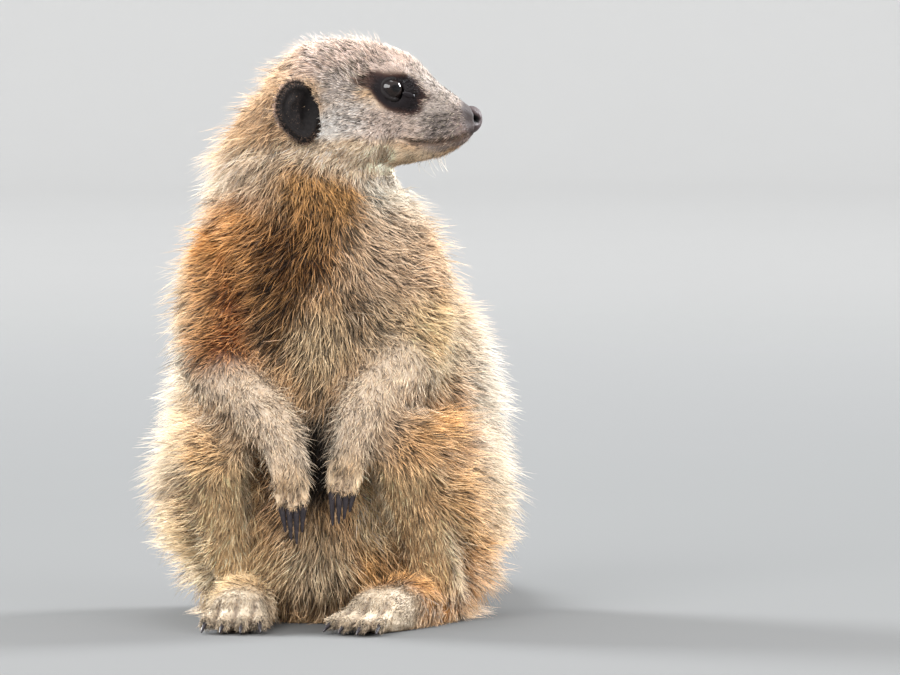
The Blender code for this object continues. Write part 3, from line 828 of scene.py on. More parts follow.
def tuft_mesh(name, roots, normals, ways, length, width, lift, bend, colours, tips, uvs, rings):
    """Closed three-sided tufts. Each leaves the skin at lift and bends back towards it.

    rings is the number of rings of three points before the tip.
    """
    count = len(roots)
    across = np.cross(ways, normals)
    shares = np.linspace(0, 1, rings + 1)
    centre = roots - normals * (0.25 + 0.2 * width)[:, None]
    points, shade = [], []
    before = 0.0
    for share in shares:
        angle = lift * (1 - bend * (share + before) / 2)
        run = ways * np.cos(angle)[:, None] + normals * np.sin(angle)[:, None]
        centre = centre + run * (length * (share - before))[:, None]
        before = share
        if share == 1:
            continue
        half = width * 0.5 * (1 - 0.55 * share)
        upward = np.cross(across, run)
        for turn in (90, 210, 330):
            c, s = math.cos(math.radians(turn)), math.sin(math.radians(turn))
            offset = across * (half * c)[:, None] + upward * (half * s * 0.6)[:, None]
            points.append(centre + offset)
            shade.append(share)
    points.append(centre)
    shade.append(1.0)
    places = np.stack(points, 1)
    per = places.shape[1]
    places[:, :, 2] = np.maximum(places[:, :, 2], FLOOR_CLEARANCE)
    shade = np.array(shade)[None, :, None] ** 1.1
    painted = colours[:, None, :] * (1 - shade) + tips[:, None, :] * shade

    faces = [(0, 2, 1)]
    for k in range(rings - 1):
        for j in range(3):
            a, b = 3 * k + j, 3 * k + (j + 1) % 3
            faces += [(a, b, b + 3), (a, b + 3, a + 3)]
    top = 3 * (rings - 1)
    faces += [(top + j, top + (j + 1) % 3, per - 1) for j in range(3)]
    faces = np.array(faces)[None] + (np.arange(count) * per)[:, None, None]
    mesh = triangle_mesh(name, places.reshape(-1, 3), faces.reshape(-1, 3))

    corner = [(j * 0.0012, share * 0.0026) for share in shares[:-1] for j in range(3)]
    spot = np.array([*corner, (0.0012, 0.0028)]) - 0.0014
    patches = np.clip(uvs, 0.002, 0.998)[:, None, :] + spot[None]
    layer = mesh.uv_layers.new(name="OFBake")
    layer.data.foreach_set("uv", patches.reshape(-1, 2)[faces.ravel()].astype(np.float32).ravel())
    paint_points(mesh, "markings_and_painted_light", painted.reshape(-1, 3))
    return mesh


# What the skin's points carry, in the order of a ground's table.
COLUMNS = ("length", "lift", "width", *(f"lie_{k}" for k in range(3)), *(f"limb_{k}" for k in range(5)))


class Ground:
    """A stretch of the skin that one coat piece grows on, with its own unwrap."""

    def __init__(self, mesh, chosen, columns=COLUMNS):
        corners = triangles_of(mesh)[chosen]
        used, self.faces = np.unique(corners, return_inverse=True)
        self.faces = self.faces.reshape(-1, 3)
        self.places = places_of(mesh)[used]
        self.normals = normals_of(mesh)[used]
        held = [read_points(mesh, c)[used] for c in columns]
        self.table = np.stack(held, 1) if held else np.zeros((len(used), 1))
        sheet = triangle_mesh("ground", self.places, self.faces)
        obj = link("ground", sheet)
        bpy.ops.object.select_all(action="DESELECT")
        obj.select_set(True)
        bpy.context.view_layer.objects.active = obj
        bpy.ops.object.mode_set(mode="EDIT")
        bpy.ops.mesh.select_all(action="SELECT")
        bpy.ops.uv.smart_project(angle_limit=math.radians(66), island_margin=0.004)
        bpy.ops.object.mode_set(mode="OBJECT")
        self.uv = read_rows(sheet.uv_layers.active.data, "uv", 2).reshape(-1, 3, 2).astype(float)
        bpy.data.objects.remove(obj)
        a, b, c = (self.places[self.faces[:, k]] for k in range(3))
        self.area = lengths(np.cross(b - a, c - a)) / 2

    def grow(self, count, draw, density=None):
        """Roots spread evenly over the ground: places, normals, lie, table and unwrap."""
        weight = self.area.copy()
        if density is not None:
            weight *= density(self.places[self.faces].mean(1))
        total = np.cumsum(weight)
        picks = (np.arange(count) + draw.uniform(0, 1, count)) / count * total[-1]
        face = np.minimum(np.searchsorted(total, picks), len(total) - 1)
        one, two = draw.uniform(0, 1, (2, count))
        root = np.sqrt(one)
        share = np.stack((1 - root, root * (1 - two), root * two), 1)
        corner = self.faces[face]
        place = np.einsum("nk,nkj->nj", share, self.places[corner])
        normal = unit(np.einsum("nk,nkj->nj", share, self.normals[corner]))
        table = np.einsum("nk,nkj->nj", share, self.table[corner])
        uv = np.einsum("nk,nkj->nj", share, self.uv[face])
        return place, normal, table, uv


def lie_on(lie, normals):
    """The lie of the hair laid on the skin."""
    return unit(lie - normals * np.einsum("ij,ij->i", lie, normals)[:, None])


def turned(ways, normals, angle):
    """Directions on the skin, each turned about its normal."""
    across = np.cross(normals, ways)
    return ways * np.cos(angle)[:, None] + across * np.sin(angle)[:, None]


def head_lie(places, lie):
    """On the head the hair runs back from the nose and fans round the eye and the cheek."""
    f, s, u = in_head(places)
    low = 1 - step(-16, 2, u)
    rise = np.where(u > 4, 0.25, 0.0) - 0.75 * low * (1 - step(26, 40, f)) - 0.25 * step(36, 50, f)
    drop = step(-8, -20, f)
    rows = (
        -FORWARD * (1 - 0.6 * drop)[:, None]
        + UP * (rise - 0.8 * drop)[:, None]
        + LEFTWARD * (np.sign(s) * 0.15)[:, None]
    )
    share = step(166, 176, places[:, 2])[:, None]
    return unit(rows) * share + lie * (1 - share)


def bare_places(places):
    """Where nothing grows: the eyes and their lids, the ears' cups, the nose pad and the lips."""
    f, _, u = in_head(places)
    bare = eye_distance(places) < EYE_RADIUS + 1.35
    for side, _ in SIDES:
        local = (places - ear_middle(side)) @ ear_axes(side)
        local[:, 0] += 0.1 * local[:, 2]
        bare |= (local**2 / (np.array(EAR_HALF) * (1.03, 1.5, 0.96)) ** 2).sum(1) < 1
    bare |= lengths(places - middle_of("nose")) < 5.2
    bare |= (f + 0.25 * (u + 7) > 55.6) & (u > -14)
    bare |= (off_line(f, u, MOUTH) < 0.55) & (f > 30)
    return bare


def near_eye(places):
    """From 0 away from the eyes to 1 beside their lids."""
    return 1 - step(7, 12, eye_distance(places))


# What a coat piece does unless told otherwise: scale of length and width, more lift and how far
# tufts stray in degrees, more pale tips, and how much they stand out on the animal's sides.
OPTIONS = {"length": 1.0, "width": 1.0, "lift": 0.0, "stray": 14.0, "pale": 0.0, "fan": 0.35}


def coat_piece(name, ground, count, rings, draw, slot, look, settings):
    """One joined piece of tufts on a ground. settings holds what differs from OPTIONS."""
    options = {**OPTIONS, **settings}
    place, normal, table, uv = ground.grow(count, draw)
    keep = ~bare_places(place)
    keep &= ~((normal[:, 2] < -0.75) & (place[:, 2] < 3))
    place, normal, table, uv = place[keep], normal[keep], table[keep], uv[keep]
    count = len(place)
    limbs = {kind: table[:, 6 + k] for k, kind in enumerate(KINDS)}
    lie = lie_on(head_lie(place, table[:, 3:6]), normal)
    clump = waves(place, 9, 21)
    sway = np.radians(12 * clump + options["stray"] * draw.normal(size=count))
    ways = turned(lie, normal, sway)
    f, s, u = in_head(place)
    face = face_share(place)
    length = table[:, 0] * (1 - face) + 2.3 * face
    length = length * (1 - 0.62 * near_eye(place))
    before_ear = band(f, -2, 2, 8, 14) * band(u, -16, -12, 6, 10)
    length = length * (1 - 0.45 * before_ear * (np.abs(s) > 12))
    length *= options["length"] * draw.uniform(0.72, 1.22, count)
    width = table[:, 2] * (1 + 0.1 * face) * options["width"] * draw.uniform(0.75, 1.3, count)
    outward = np.abs(normal[:, 0]) ** 2 * (place[:, 2] < 166) * options["fan"]
    lift = table[:, 1] * (1 + 0.75 * outward) + options["lift"]
    lift = lift * (1 - 0.1 * face) * (1 + 0.22 * waves(place, 7, 22))
    lift = np.radians(np.clip(lift + 9 * draw.normal(size=count), 6, 72))
    bend = draw.uniform(0.25, 0.75, count)
    root, tip = tuft_colours(place, normal, limbs, options["pale"], draw)
    mesh = tuft_mesh(name, place, normal, ways, length, width, lift, bend, root, tip, uv, rings)
    placed(name, mesh, look, slot)


def tuft_colours(place, normal, limbs, more_pale, draw):
    """The colours of each tuft's root and tip: dark roots, pale or dark tips, and paler tips on the flanks,
    a painted rim light.
    """
    count = len(place)
    base = markings_and_painted_light(place, limbs)
    on_head = step(168, 180, place[:, 2])
    foot = np.clip(limbs["hind_foot"], 0, 1)
    light = np.exp(
        (0.72 - 0.2 * foot) * draw.normal(size=count)
        + (0.46 - 0.32 * on_head) * (1 - 0.5 * foot) * waves(place, 2.6, 23)
        + 0.68 * on_head * (1 - 0.5 * near_eye(place)) * waves(place, 1.4, 24)
        + 0.1 * waves(place, 8, 25)
    )
    light = np.minimum(light, 2.6 - 0.8 * foot)
    warm = 1 + 0.035 * draw.normal(size=count)
    tone = base * light[:, None] * np.stack((warm, np.ones(count), 2 - warm), 1)
    root = np.minimum(tone * 0.28, 0.5)
    tip = tone * 2.15
    grizzle = draw.uniform(0, 1, count)
    # painted rim light: paler tips, and more of them, where the coat faces sideways
    rim = step(0.6, 0.96, np.abs(normal[:, 0])) * (place[:, 2] < 170) * (np.abs(place[:, 1]) < 60)
    dark = (grizzle < 0.32 - more_pale)[:, None]
    pale = (grizzle > 0.82 - more_pale - 0.55 * rim)[:, None]
    black = (base.mean(1) < 0.035)[:, None]
    deep = np.clip(1.6 * (1 - base[:, 2] / base[:, 0]) - 0.35, 0, 1)
    deep = (deep * (1 - 0.85 * on_head * step(-18, 7, in_head(place)[0])))[:, None]
    golden = base * 0.62 / base.max(1)[:, None] * 0.5 + GOLD * 0.45
    golden += (CREAM * 0.8 - golden) * rim[:, None]
    bright = CREAM * 0.8 * (1 - deep) + golden * deep
    bright *= 0.3 + 0.7 * step(0.012, 0.07, base.mean(1))[:, None]
    peak = tip.max(1)[:, None]
    tip += (GOLD / GOLD.max() * peak - tip) * 0.7 * step(0.1, 0.5, peak) * deep
    # painted rim light on the tips
    tip += (CREAM * (0.9 * peak) - tip) * 0.65 * rim[:, None]
    tip = np.where(dark, tip * 0.25, tip)
    tip = np.where(pale, np.maximum(tip, bright * light[:, None] ** 0.5), tip)
    tip = np.where(black, tone * 1.2, tip)
    return root, tip * np.minimum(1, 0.88 / tip.max(1))[:, None]


# ---------------- eyes, lids, ears, nose, claws


def grid_mesh(name, places, caps=True):
    """A mesh from rows of points, each a closed loop. caps closes the first and the last."""
    columns = places.shape[1]
    bm = bmesh.new()
    verts = [[bm.verts.new(p * MM) for p in row] for row in places]
    for low, high in zip(verts, verts[1:]):
        for k in range(columns):
            after = (k + 1) % columns
            bm.faces.new((low[k], low[after], high[after], high[k]))
    if caps:
        bm.faces.new(verts[0][::-1])
        bm.faces.new(verts[-1])
    bmesh.ops.recalc_face_normals(bm, faces=bm.faces)
    mesh = closed(bm, name)
    mesh.shade_smooth()
    return mesh


def eye_axes(side):
    """The way the eye looks, the way to its inner corner, and up, square to each other."""
    look = unit(FORWARD * math.cos(EYE_LOOK) + LEFTWARD * (side * math.sin(EYE_LOOK)) + UP * 0.10)
    inner = unit(FORWARD - look * (FORWARD @ look))
    return look, inner, np.cross(look, inner) * (-side)


def eye_mesh(name, centre, side):
    """An eyeball with a clear bulge over its iris, as one closed smooth form."""
    look, inner, upward = eye_axes(side)
    turns = circle(48)
    ring = np.outer(np.cos(turns), inner) + np.outer(np.sin(turns), upward)
    rows = []
    for theta in np.r_[0.02, np.linspace(0.1, math.pi - 0.08, 34)]:
        radius = EYE_RADIUS + 0.34 * (1 - step(0.42, 0.72, theta))
        rows.append(centre + radius * (look * math.cos(theta) + ring * math.sin(theta)))
    return grid_mesh(name, np.array(rows))


def opening(turn):
    """How far the lids' edge is from the middle of the eye, for each way round from the inner corner."""
    corner = np.maximum(np.cos(turn + 0.42), 0) ** 7
    outer = np.maximum(np.cos(turn - math.pi + 0.1), 0) ** 5
    return np.radians(43 + 5 * np.cos(turn) ** 2 + 36 * corner + 10 * outer)


def lid_mesh(name, centre, side):
    """Both lids as one ring: a soft rim on the eyeball, a fold, and an edge sunk in the skin."""
    look, inner, upward = eye_axes(side)
    turns = circle(96)
    edge = opening(turns)
    ring = np.outer(np.cos(turns), inner) + np.outer(np.sin(turns), upward)
    rows = []
    upper = np.maximum(np.sin(turns), 0)
    profile = [
        (-0.10, 5.0), (-0.05, 5.32), (-0.01, 5.62), (0.05, 5.86), (0.12, 5.95),
        (0.20, 5.86), (0.27, 5.90), (0.36, 6.02), (0.50, 6.04), (0.68, 5.9), (0.86, 5.2),
        (0.80, 4.7), (0.30, 4.72), (0.0, 4.75),
    ]
    for shift, radius in profile:
        theta = edge + shift
        fold = 0.16 * upper * bell((shift - 0.24) / 0.07)
        wave = 0.05 * np.sin(9 * turns + 30 * shift)
        size = (radius - fold + (wave if 0.1 < shift < 0.6 else 0))[:, None] * np.ones((1, 3))
        rows.append(centre + size * (look * np.cos(theta)[:, None] + ring * np.sin(theta)[:, None]))
    return grid_mesh(name, np.array(rows), caps=False)


def close_ring(mesh):
    """Joins the first and last loops of a ring-shaped strip, so that it is a closed solid."""
    bm = opened(mesh)
    bmesh.ops.bridge_loops(bm, edges=[e for e in bm.edges if e.is_boundary])
    bmesh.ops.recalc_face_normals(bm, faces=bm.faces)
    bm.to_mesh(mesh)
    bm.free()
    mesh.shade_smooth()
    return mesh


def ear_mesh(name, side):
    """A small round ear: a rolled rim, a ridge inside it, and a deep cup towards the face."""
    turn = ear_axes(side)
    turns = circle(72)
    c, s = np.cos(turns), np.sin(turns)
    front = step(0.2, 0.95, c)
    rows = []
    for share in np.linspace(0.03, 1, 26):
        rim = bell((share - 0.86) / 0.13) * (2.1 - 1.5 * front) * (1 + 0.15 * np.sin(2 * turns))
        ridge = bell((share - 0.5) / 0.16) * 1.7 * step(0.2, -0.5, c) * (0.6 + 0.4 * s)
        ahead, high = share * c * EAR_HALF[0], share * s * EAR_HALF[2]
        cup = -4.2 * np.exp(-(((ahead - 3.0 - 0.12 * high) / 2.6) ** 2 + ((high - 0.4) / 5.2) ** 2))
        height = 0.9 + rim + ridge + cup - 1.1 * share * front
        rows.append((share, height))
    for share, height in ((1.035, 2.0), (1.03, 0.4), (0.97, -2.2), (0.86, -4.2), (0.5, -5.2), (0.05, -5.4)):
        rows.append((share, np.full(len(turns), height) - 0.9 * front * (height > 0)))
    grid = []
    for share, height in rows:
        ahead, high = EAR_HALF[0] * share * c, EAR_HALF[2] * share * s
        narrow = 1 - 0.26 * step(0.1, 1.1, -high / EAR_HALF[2])
        local = np.stack((ahead * narrow - 0.1 * high, side * height, high), 1)
        local[:, 0] += 0.25 * np.sin(3 * turns + 1)
        grid.append(ear_middle(side) + local @ turn.T)
    return grid_mesh(name, np.array(grid))


def nose_mesh(name):
    """The nose pad: a blunt oval with a nostril each side, painted near black as the shade inside it, and a
    groove down its middle, painted darker as shade.
    """
    rows, paints = [], []
    leather, hollow_shade = srgb(66, 55, 55), srgb(5, 4, 4)
    turns = circle(96)
    for theta in np.r_[0.02, np.linspace(0.06, math.pi - 0.06, 60)]:
        ring_s, ring_u = np.cos(turns) * math.sin(theta), np.sin(turns) * math.sin(theta)
        along = np.full(len(turns), math.cos(theta))
        f, s, u = along * 4.6 - 0.4, ring_s * 5.2, ring_u * 5.2
        u = u + 0.3 * np.maximum(along, 0)
        groove = 0.5 * bell(s / 0.42) * step(0.2, 0.9, along) * step(1.6, -0.6, u)
        inside = 0
        for way in (-1, 1):
            across = (s * way - 3.8) * 0.9 + (u - 0.8) * 0.3
            upright = (u - 1.0) + 0.5 * (f - 1.1)
            hole = (across / 2.4) ** 2 + (upright / 1.7) ** 2 + ((f - 1.1) / 3.1) ** 2
            inside = inside + 2.7 * np.exp(-(hole**1.5)) * (s * way > 0.4)
        pull = 1 - (groove + inside) / 4.6
        turned_to_head = np.outer(f * pull, FORWARD) + np.outer(s * pull, LEFTWARD) + np.outer(u * pull, UP)
        rows.append(middle_of("nose") + turned_to_head)
        # painted shade inside the nostrils and in the groove
        dark = step(0.25, 1.1, inside + groove * 0.6)[:, None]
        paints.append(leather * (1 - dark) + hollow_shade * dark)
    mesh = grid_mesh(name, np.array(rows))
    paint_points(mesh, "markings_and_painted_light", np.concatenate(paints))
    return mesh


def rounded(node, name, look, slot, way=None):
    """A smoother copy of a small solid, which then stands for it.

    way holds how far to scale it downward from its top, and the sideways lean of its tip.
    """
    bm = opened(NODES[node].data)
    bmesh.ops.remove_doubles(bm, verts=bm.verts, dist=MERGE)
    if way:
        reach, lean = way
        heights = [v.co.z for v in bm.verts]
        top, low = max(heights), min(heights)
        upper = [v.co.x for v in bm.verts if v.co.z > top - 0.1 * (top - low)]
        lower = [v.co.x for v in bm.verts if v.co.z < low + 0.03 * (top - low)]
        start = sum(upper) / len(upper)
        slope = (sum(lower) / len(lower) - start) / (top - low)
        for vertex in bm.verts:
            drop = top - vertex.co.z
            off = vertex.co.x - start - drop * slope
            vertex.co.x = start + drop * lean + off * (1.3 - 0.1 * drop / (top - low))
            vertex.co.z = top - drop * reach
    obj = link(name, closed(bm, name))
    smooth = obj.modifiers.new("round", "SUBSURF")
    smooth.levels = smooth.render_levels = 2
    done = evaluated(obj)
    bpy.data.objects.remove(obj)
    done.shade_smooth()
    placed(name, done, look, slot, node)


# ---------------- building it

HAIR = {"Sheen_Weight": 0.06, "Sheen_Roughness": 0.45, "Sheen_Tint": (1, 0.95, 0.88, 1)}
FINE = 0.0004  # in metres, how deep the bump of hair and skin goes
coat_look = painted_material("coat_hair", 900, 0.12, (0.62, 0.82), (0.25, FINE), **HAIR)
pale_look = painted_material("pale_hair", 900, 0.12, (0.62, 0.82), (0.25, FINE), **HAIR)
dark_look = painted_material("dark_hair", 900, 0.15, (0.7, 0.9), (0.25, FINE))
skin_look = painted_material("skin_under_coat", 1400, 0.16, (0.52, 0.72), (0.5, FINE))
nose_look = painted_material("nose_leather", 1600, 0.3, (0.36, 0.56), (0.9, FINE))
eye_look = painted_material(
    "wet_eye", 2600, 0.2, (0.02, 0.06), (0.04, 0.0001), rough_scale=500, bump_scale=900,
    IOR=1.38, Specular_IOR_Level=0.35, Coat_Weight=0.06, Coat_Roughness=0.02,
)
lid_look = grown_material(
    "lid_skin", 1500, (0.006, 0.005, 0.005), (0.014, 0.011, 0.011), (0.5, 0.7), (0.6, 0.0003)
)
ear_look = grown_material(
    "ear_skin", 900, (0.006, 0.005, 0.005), (0.014, 0.012, 0.012), (0.8, 0.95), (0.6, 0.0003)
)
claw_look = grown_material(
    "claw_horn", 700, (0.012, 0.01, 0.012), (0.036, 0.03, 0.032), (0.28, 0.42), (0.3, 0.0003)
)


def build_eyes():
    """Each eyeball with its iris and pupil, and the lids round it."""
    for (side, word), centre in zip(SIDES, (RIGHT_EYE, LEFT_EYE)):
        mesh = eye_mesh(f"{word}_eyeball", centre, side)
        look, inner, upward = eye_axes(side)
        away = unit(places_of(mesh) - centre)
        across, high = away @ inner, away @ upward
        off = np.sqrt(across**2 + high**2) * np.where(away @ look > 0, 1, 9)
        colours, lay = painter(srgb(22, 18, 18), away)
        lay(srgb(26, 20, 18), step(0.66, 0.60, off))
        lay(srgb(8, 7, 8), step(0.36, 0.28, np.hypot(across * 0.85, high * 1.2)))
        paint_points(mesh, "markings_and_painted_light", colours)
        placed(f"{word}_eyeball", mesh, eye_look, "eye", f"{word}_eye")
        lids = close_ring(lid_mesh(f"{word}_eyelids", centre, side))
        placed(f"{word}_eyelids", lids, lid_look, "dark_coat")


def build_ears(draw):
    for side, word in SIDES:
        mesh = ear_mesh(f"{word}_ear_cup", side)
        placed(f"{word}_ear_cup", mesh, ear_look, "dark_coat", f"{word}_ear")
        ear_fuzz(f"{word}_ear_fuzz", mesh, side, draw)


def ear_fuzz(name, cup, side, draw):
    """Short dark hair all over the ear, longest on its rim, so that its edge is soft."""
    bm = opened(cup)
    bmesh.ops.triangulate(bm, faces=bm.faces)
    sheet = closed(bm, "ear_sheet")
    turn = ear_axes(side)
    high = ((places_of(sheet) - ear_middle(side)) @ turn)[:, 1] * side
    shown = high[triangles_of(sheet)].max(1) > -3.5
    ground = Ground(sheet, shown, ())
    place, normal, _, uv = ground.grow(EAR_TUFTS, draw)
    count = len(place)
    local = (place - ear_middle(side)) @ turn
    out = np.hypot(local[:, 0] / EAR_HALF[0], local[:, 2] / EAR_HALF[2])
    edge = step(0.72, 1.0, out)
    away = local * (1, 0, 1) + (-3.0, 0, -1.5)
    ways = lie_on(unit(away) @ turn.T, normal)
    ways = turned(ways, normal, np.radians(30 * draw.normal(size=count)))
    length = (0.9 + 1.3 * edge) * draw.uniform(0.6, 1.3, count)
    lift = np.radians(np.clip(34 + 12 * draw.normal(size=count), 10, 70))
    shade = np.exp(0.35 * draw.normal(size=count))[:, None]
    rooted = (BLACK * 0.36 * (1 - 0.3 * edge[:, None]) + TAN * 0.02) * shade
    # painted light: the fuzz is lighter on the rim and on the mound inside; painted shade: it is near black
    # in the cup's hollow
    mound = np.exp(-(((local[:, 0] + 1.6) / 3.2) ** 2 + ((local[:, 2] - 0.5) / 6) ** 2))
    hollow_shade = np.exp(-(((local[:, 0] - 3.2 - 0.12 * local[:, 2]) / 2.2) ** 2 + (local[:, 2] / 5) ** 2))
    lit = edge * 0.7 + mound
    brown = srgb(164, 134, 116) * lit[:, None] * (draw.uniform(0, 1, count) > 0.4)[:, None]
    tips = np.maximum(rooted * 1.7, brown * shade) * (1 - 0.97 * hollow_shade)[:, None]
    width, bend = np.full(count, 0.42), np.full(count, 0.4)
    mesh = tuft_mesh(name, place, normal, ways, length, width, lift, bend, rooted, tips, uv, 1)
    placed(name, mesh, dark_look, "dark_coat")


def build_skin():
    """The skin with its markings, darker than the coat's and darker still under long hair, as painted shade
    deep in the coat.
    """
    mesh = make_skin()
    places = places_of(mesh)
    limbs = {kind: read_points(mesh, f"limb_{k}") for k, kind in enumerate(KINDS)}
    short = limbs["hind_foot"] + limbs["forepaw"] + step(10, 26, in_head(places)[0]) * (places[:, 2] > 166)
    shade = 0.5 + 0.3 * np.clip(short, 0, 1)
    paint_points(mesh, "markings_and_painted_light", np.minimum(markings_and_painted_light(places, limbs) * shade[:, None], 0.8))
    mesh.shade_smooth()
    placed("skin", mesh, skin_look, "coat", *flesh_names())
    return mesh


def build_corners(surface):
    """The small wet swelling in the inner corner of each eye, laid on the skin."""
    tree = BVHTree.FromPolygons(places_of(surface).tolist(), triangles_of(surface).tolist())
    for side, word in SIDES:
        start = from_head(CORNER_PLACE[0], 40.0 * side, CORNER_PLACE[1])
        hit = tree.ray_cast(Vector(start), Vector(-LEFTWARD * side))[0]
        tilt = Matrix.Rotation(math.radians(17), 4, "Y")
        slant = Matrix.Rotation(math.radians(-22 * side), 4, "Z")
        mesh = oval(np.array(hit) - LEFTWARD * side * 0.25, CORNER_HALF, slant @ tilt)
        mesh.shade_smooth()
        paint_points(mesh, "markings_and_painted_light", np.tile(srgb(20, 16, 18), (len(mesh.vertices), 1)))
        placed(f"{word}_eye_corner", mesh, eye_look, "dark_coat")


build_eyes()
build_ears(np.random.default_rng(SEED + 1))
placed("nose_pad", nose_mesh("nose_pad"), nose_look, "nose_pad", "nose")
for node in sorted(NODES):
    if "claw" in node:
        way = CLAW_WAYS[node.split("_")[0]][int(node[-1]) - 1] if "fore" in node else None
        rounded(node, node.replace("claw", "nail"), claw_look, "claw", way)
skin = build_skin()
build_corners(skin)


# ---------------- the coat

# Which parts each coat piece grows on; head, trunk and feet are cut up further.
GROUPS = {
    "head": ("head",),
    "jaw": ("lower_jaw",),
    "neck": ("neck",),
    "trunk": ("trunk",),
    "arms": ("upper_arm", "forearm", "forepaw"),
    "thighs": ("thigh",),
    "shins": ("shank",),
    "tail": ("tail_base", "tail_middle", "tail_tip"),
    "feet": ("hind_foot",),
}


# The dense coat: ground, how many tufts, rings in each, and what differs from OPTIONS.
DENSE_COAT = [
    ("head", 16000, 2, {}),
    ("face", 22000, 1, {}),
    # more pale tips on the neck, painted rim light
    ("neck", 10500, 2, {"pale": 0.14}),
    ("chest", 13500, 2, {}),
    ("back", 11000, 2, {}),
    ("right_side", 8000, 2, {}),
    ("left_side", 8000, 2, {}),
    ("arms", 17500, 2, {}),
    ("thighs", 18000, 2, {}),
    # more pale tips on the shins, painted light that lifts their shade
    ("shins", 9000, 2, {"pale": 0.2}),
    ("tail", 8500, 2, {}),
    ("feet", 15000, 1, {"stray": 10.0}),
]
# The sparse long hairs that stand out of it: ground and how many.
GUARD_HAIRS = [
    ("head", 1600), ("neck", 1900), ("right_side", 2200), ("left_side", 2200), ("arms", 2000),
    ("thighs", 2800), ("chest", 1000), ("back", 1600),
]
# the guard hairs' pale tips are partly their own pale ends and partly painted glow of the light behind them
GUARD_SETTINGS = {"length": 1.68, "width": 0.7, "lift": 28.0, "pale": 0.5, "stray": 22.0, "fan": 1.0}


def grounds():
    """The skin cut into the stretches that the coat pieces grow on."""
    names = flesh_names()
    group_of = {kind: group for group, kinds in GROUPS.items() for kind in kinds}
    corners = triangles_of(skin)
    owner = np.round(read_points(skin, "owner")).astype(int)[corners[:, 0]]
    owner = np.clip(owner, 0, len(names) - 1)
    group = np.array([group_of[kind_of(n)] for n in names])[owner]
    middle = places_of(skin)[corners].mean(1)
    x, y, _ = middle.T
    face = in_head(middle)[0] > 24
    heel = y > -46
    side = (y >= -8) & (y <= 30)
    found = {name: group == name for name in ("neck", "arms", "thighs", "tail")}
    found["head"] = (group == "head") & ~face
    found["face"] = ((group == "head") & face) | (group == "jaw")
    found["chest"] = (group == "trunk") & (y < -8)
    found["back"] = (group == "trunk") & (y > 30)
    found["right_side"] = (group == "trunk") & side & (x < 2)
    found["left_side"] = (group == "trunk") & side & (x >= 2)
    found["shins"] = (group == "shins") | ((group == "feet") & heel)
    found["feet"] = (group == "feet") & ~heel
    return {name: Ground(skin, chosen) for name, chosen in found.items()}


def whisker_roots(middles):
    """Where whiskers may stand: the muzzle's pads, above the eye and under the chin."""
    f, s, u = in_head(middles)
    pads = (np.abs(f - 47) < 6) & (np.abs(u + 10) < 4.5) & (np.abs(s) > 3.5)
    brows = (np.abs(f - 30) < 3) & (np.abs(u - 11.5) < 1.8) & (np.abs(s) > 7)
    chin = (np.abs(f - 45) < 9) & (u < -19)
    return pads * 1.0 + brows * 1.2 + chin * 0.5


def build_whiskers(ground, draw):
    """Long thin hairs, dark on the muzzle and over the eyes, pale and short under the chin."""
    place, normal, _, uv = ground.grow(WHISKERS, draw, whisker_roots)
    count = len(place)
    up = in_head(place)[2]
    low, brow = up < -18, up > 8
    rows = -FORWARD * np.where(low, -0.2, 0.5)[:, None] - UP * np.where(brow, -0.8, 0.5)[:, None]
    ways = lie_on(unit(rows), normal)
    ways = turned(ways, normal, np.radians(12 * draw.normal(size=count)))
    length = np.where(low | brow, 9.0, 15.0) * draw.uniform(0.7, 1.2, count)
    lift = np.radians(np.where(low, 62, 44) + 8 * draw.normal(size=count))
    roots = np.where(low[:, None], srgb(170, 150, 128), srgb(40, 32, 30))
    tips = np.where(low[:, None], srgb(244, 236, 222), srgb(70, 60, 54))
    width, bend = np.full(count, 0.17), np.full(count, 0.5)
    mesh = tuft_mesh("whiskers", place, normal, ways, length, width, lift, bend, roots, tips, uv, 5)
    placed("whiskers", mesh, coat_look, "coat")


def build_coat():
    land = grounds()
    draw = np.random.default_rng(SEED)
    for name, count, rings, settings in DENSE_COAT:
        slot, look = ("pale_coat", pale_look) if name == "feet" else ("coat", coat_look)
        coat_piece(f"coat_{name}", land[name], count, rings, draw, slot, look, settings)
    for name, count in GUARD_HAIRS:
        coat_piece(f"guard_{name}", land[name], count, 2, draw, "coat", coat_look, GUARD_SETTINGS)
    build_whiskers(land["face"], draw)


build_coat()


# ---------------- floor, lights, camera


def floor_light(places):
    """About how much light falls on level paper at places in metres, from the lamps and the sky."""
    total = np.full(len(places), SKY_ON_FLOOR)
    for _, spot, _, power, _, _ in LAMPS:
        away = places - np.array(spot)
        far = lengths(away)
        beam = unit(np.array(AIM) - np.array(spot))
        facing = np.maximum(away @ beam, 0) * -away[:, 2] / far**2
        total += power / math.pi**2 * facing / far**2
    return total


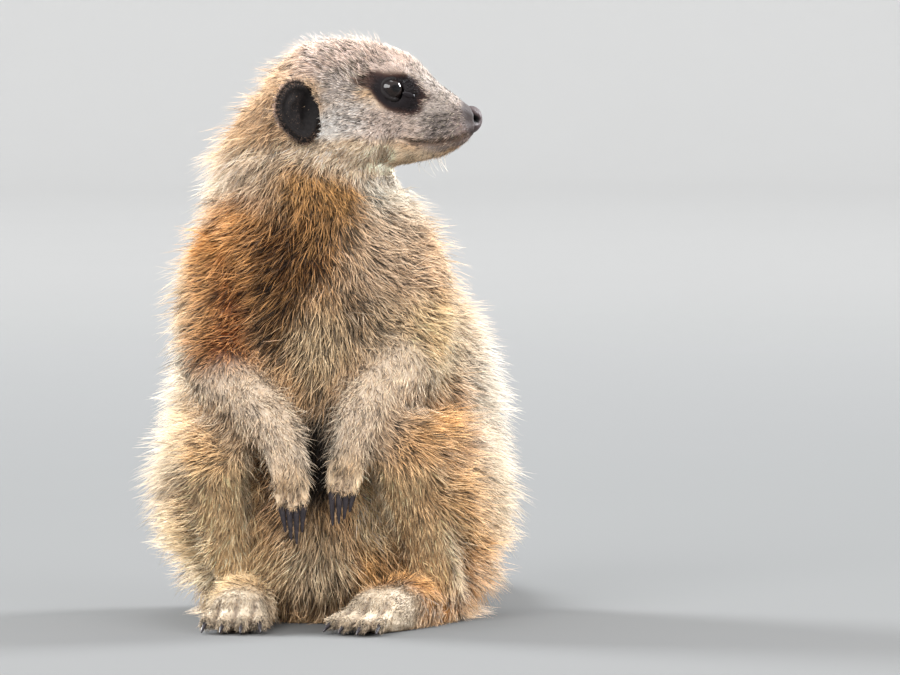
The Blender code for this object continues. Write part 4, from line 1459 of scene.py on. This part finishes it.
def build_stage():
    """A pale paper floor that curves up into a wall, painted darker where more light falls."""
    profile = [(0.001, 0), *((r, 0) for r in np.geomspace(0.05, FLOOR_REACH, 70))]
    for turn in np.linspace(0.1, math.pi / 2, 10):
        profile.append((FLOOR_REACH + 1.6 * math.sin(turn), 1.6 * (1 - math.cos(turn))))
    profile.append((FLOOR_REACH + 1.6, 4.2))
    turns = circle(120)
    rows = np.array([[(r * math.cos(t), r * math.sin(t), h) for t in turns] for r, h in profile])
    mesh = grid_mesh("studio_floor", rows / MM, caps=False)
    level = places_of(mesh) * MM * (1, 1, 0)
    paint_points(mesh, "markings_and_painted_light", PAPER / floor_light(level)[:, None] * np.array((1, 0.995, 0.985)))
    look = painted_material("studio_paper", 3, 0.004, (0.75, 0.95), (0.02, FINE), Specular_IOR_Level=0)
    mesh.materials.append(look)
    link("studio_floor", mesh)


def build_lights():
    for name, place, size, power, colour, mirrored in LAMPS:
        lamp = bpy.data.lights.new(name, "AREA")
        lamp.shape = "DISK"
        lamp.size = size
        lamp.energy = power
        lamp.color = colour
        obj = link(name, lamp)
        obj.location = place
        obj.rotation_euler = (Vector(AIM) - Vector(place)).to_track_quat("-Z", "Y").to_euler()
        obj.visible_camera = False
        obj.visible_glossy = mirrored
    world = bpy.data.worlds.new("soft_studio")
    bpy.context.scene.world = world
    world.use_nodes = True
    sky = world.node_tree.nodes["Background"]
    sky.inputs["Color"].default_value = (0.97, 0.985, 1.0, 1)
    sky.inputs["Strength"].default_value = SKY


def build_camera():
    """The camera in front of the animal, looking slightly down."""
    lens = bpy.data.cameras.new("camera")
    lens.sensor_width = 36
    lens.lens = lens.sensor_width * CAMERA_AWAY / PICTURE_WIDTH
    obj = link("camera", lens)
    back = Vector((0, -math.cos(CAMERA_TILT), math.sin(CAMERA_TILT))) * CAMERA_AWAY
    obj.location = Vector(CAMERA_TARGET) + back
    obj.rotation_euler = (math.pi / 2 - CAMERA_TILT, 0, 0)
    bpy.context.scene.camera = obj


build_stage()
build_lights()
build_camera()
bpy.context.scene.view_settings.view_transform = "Standard"
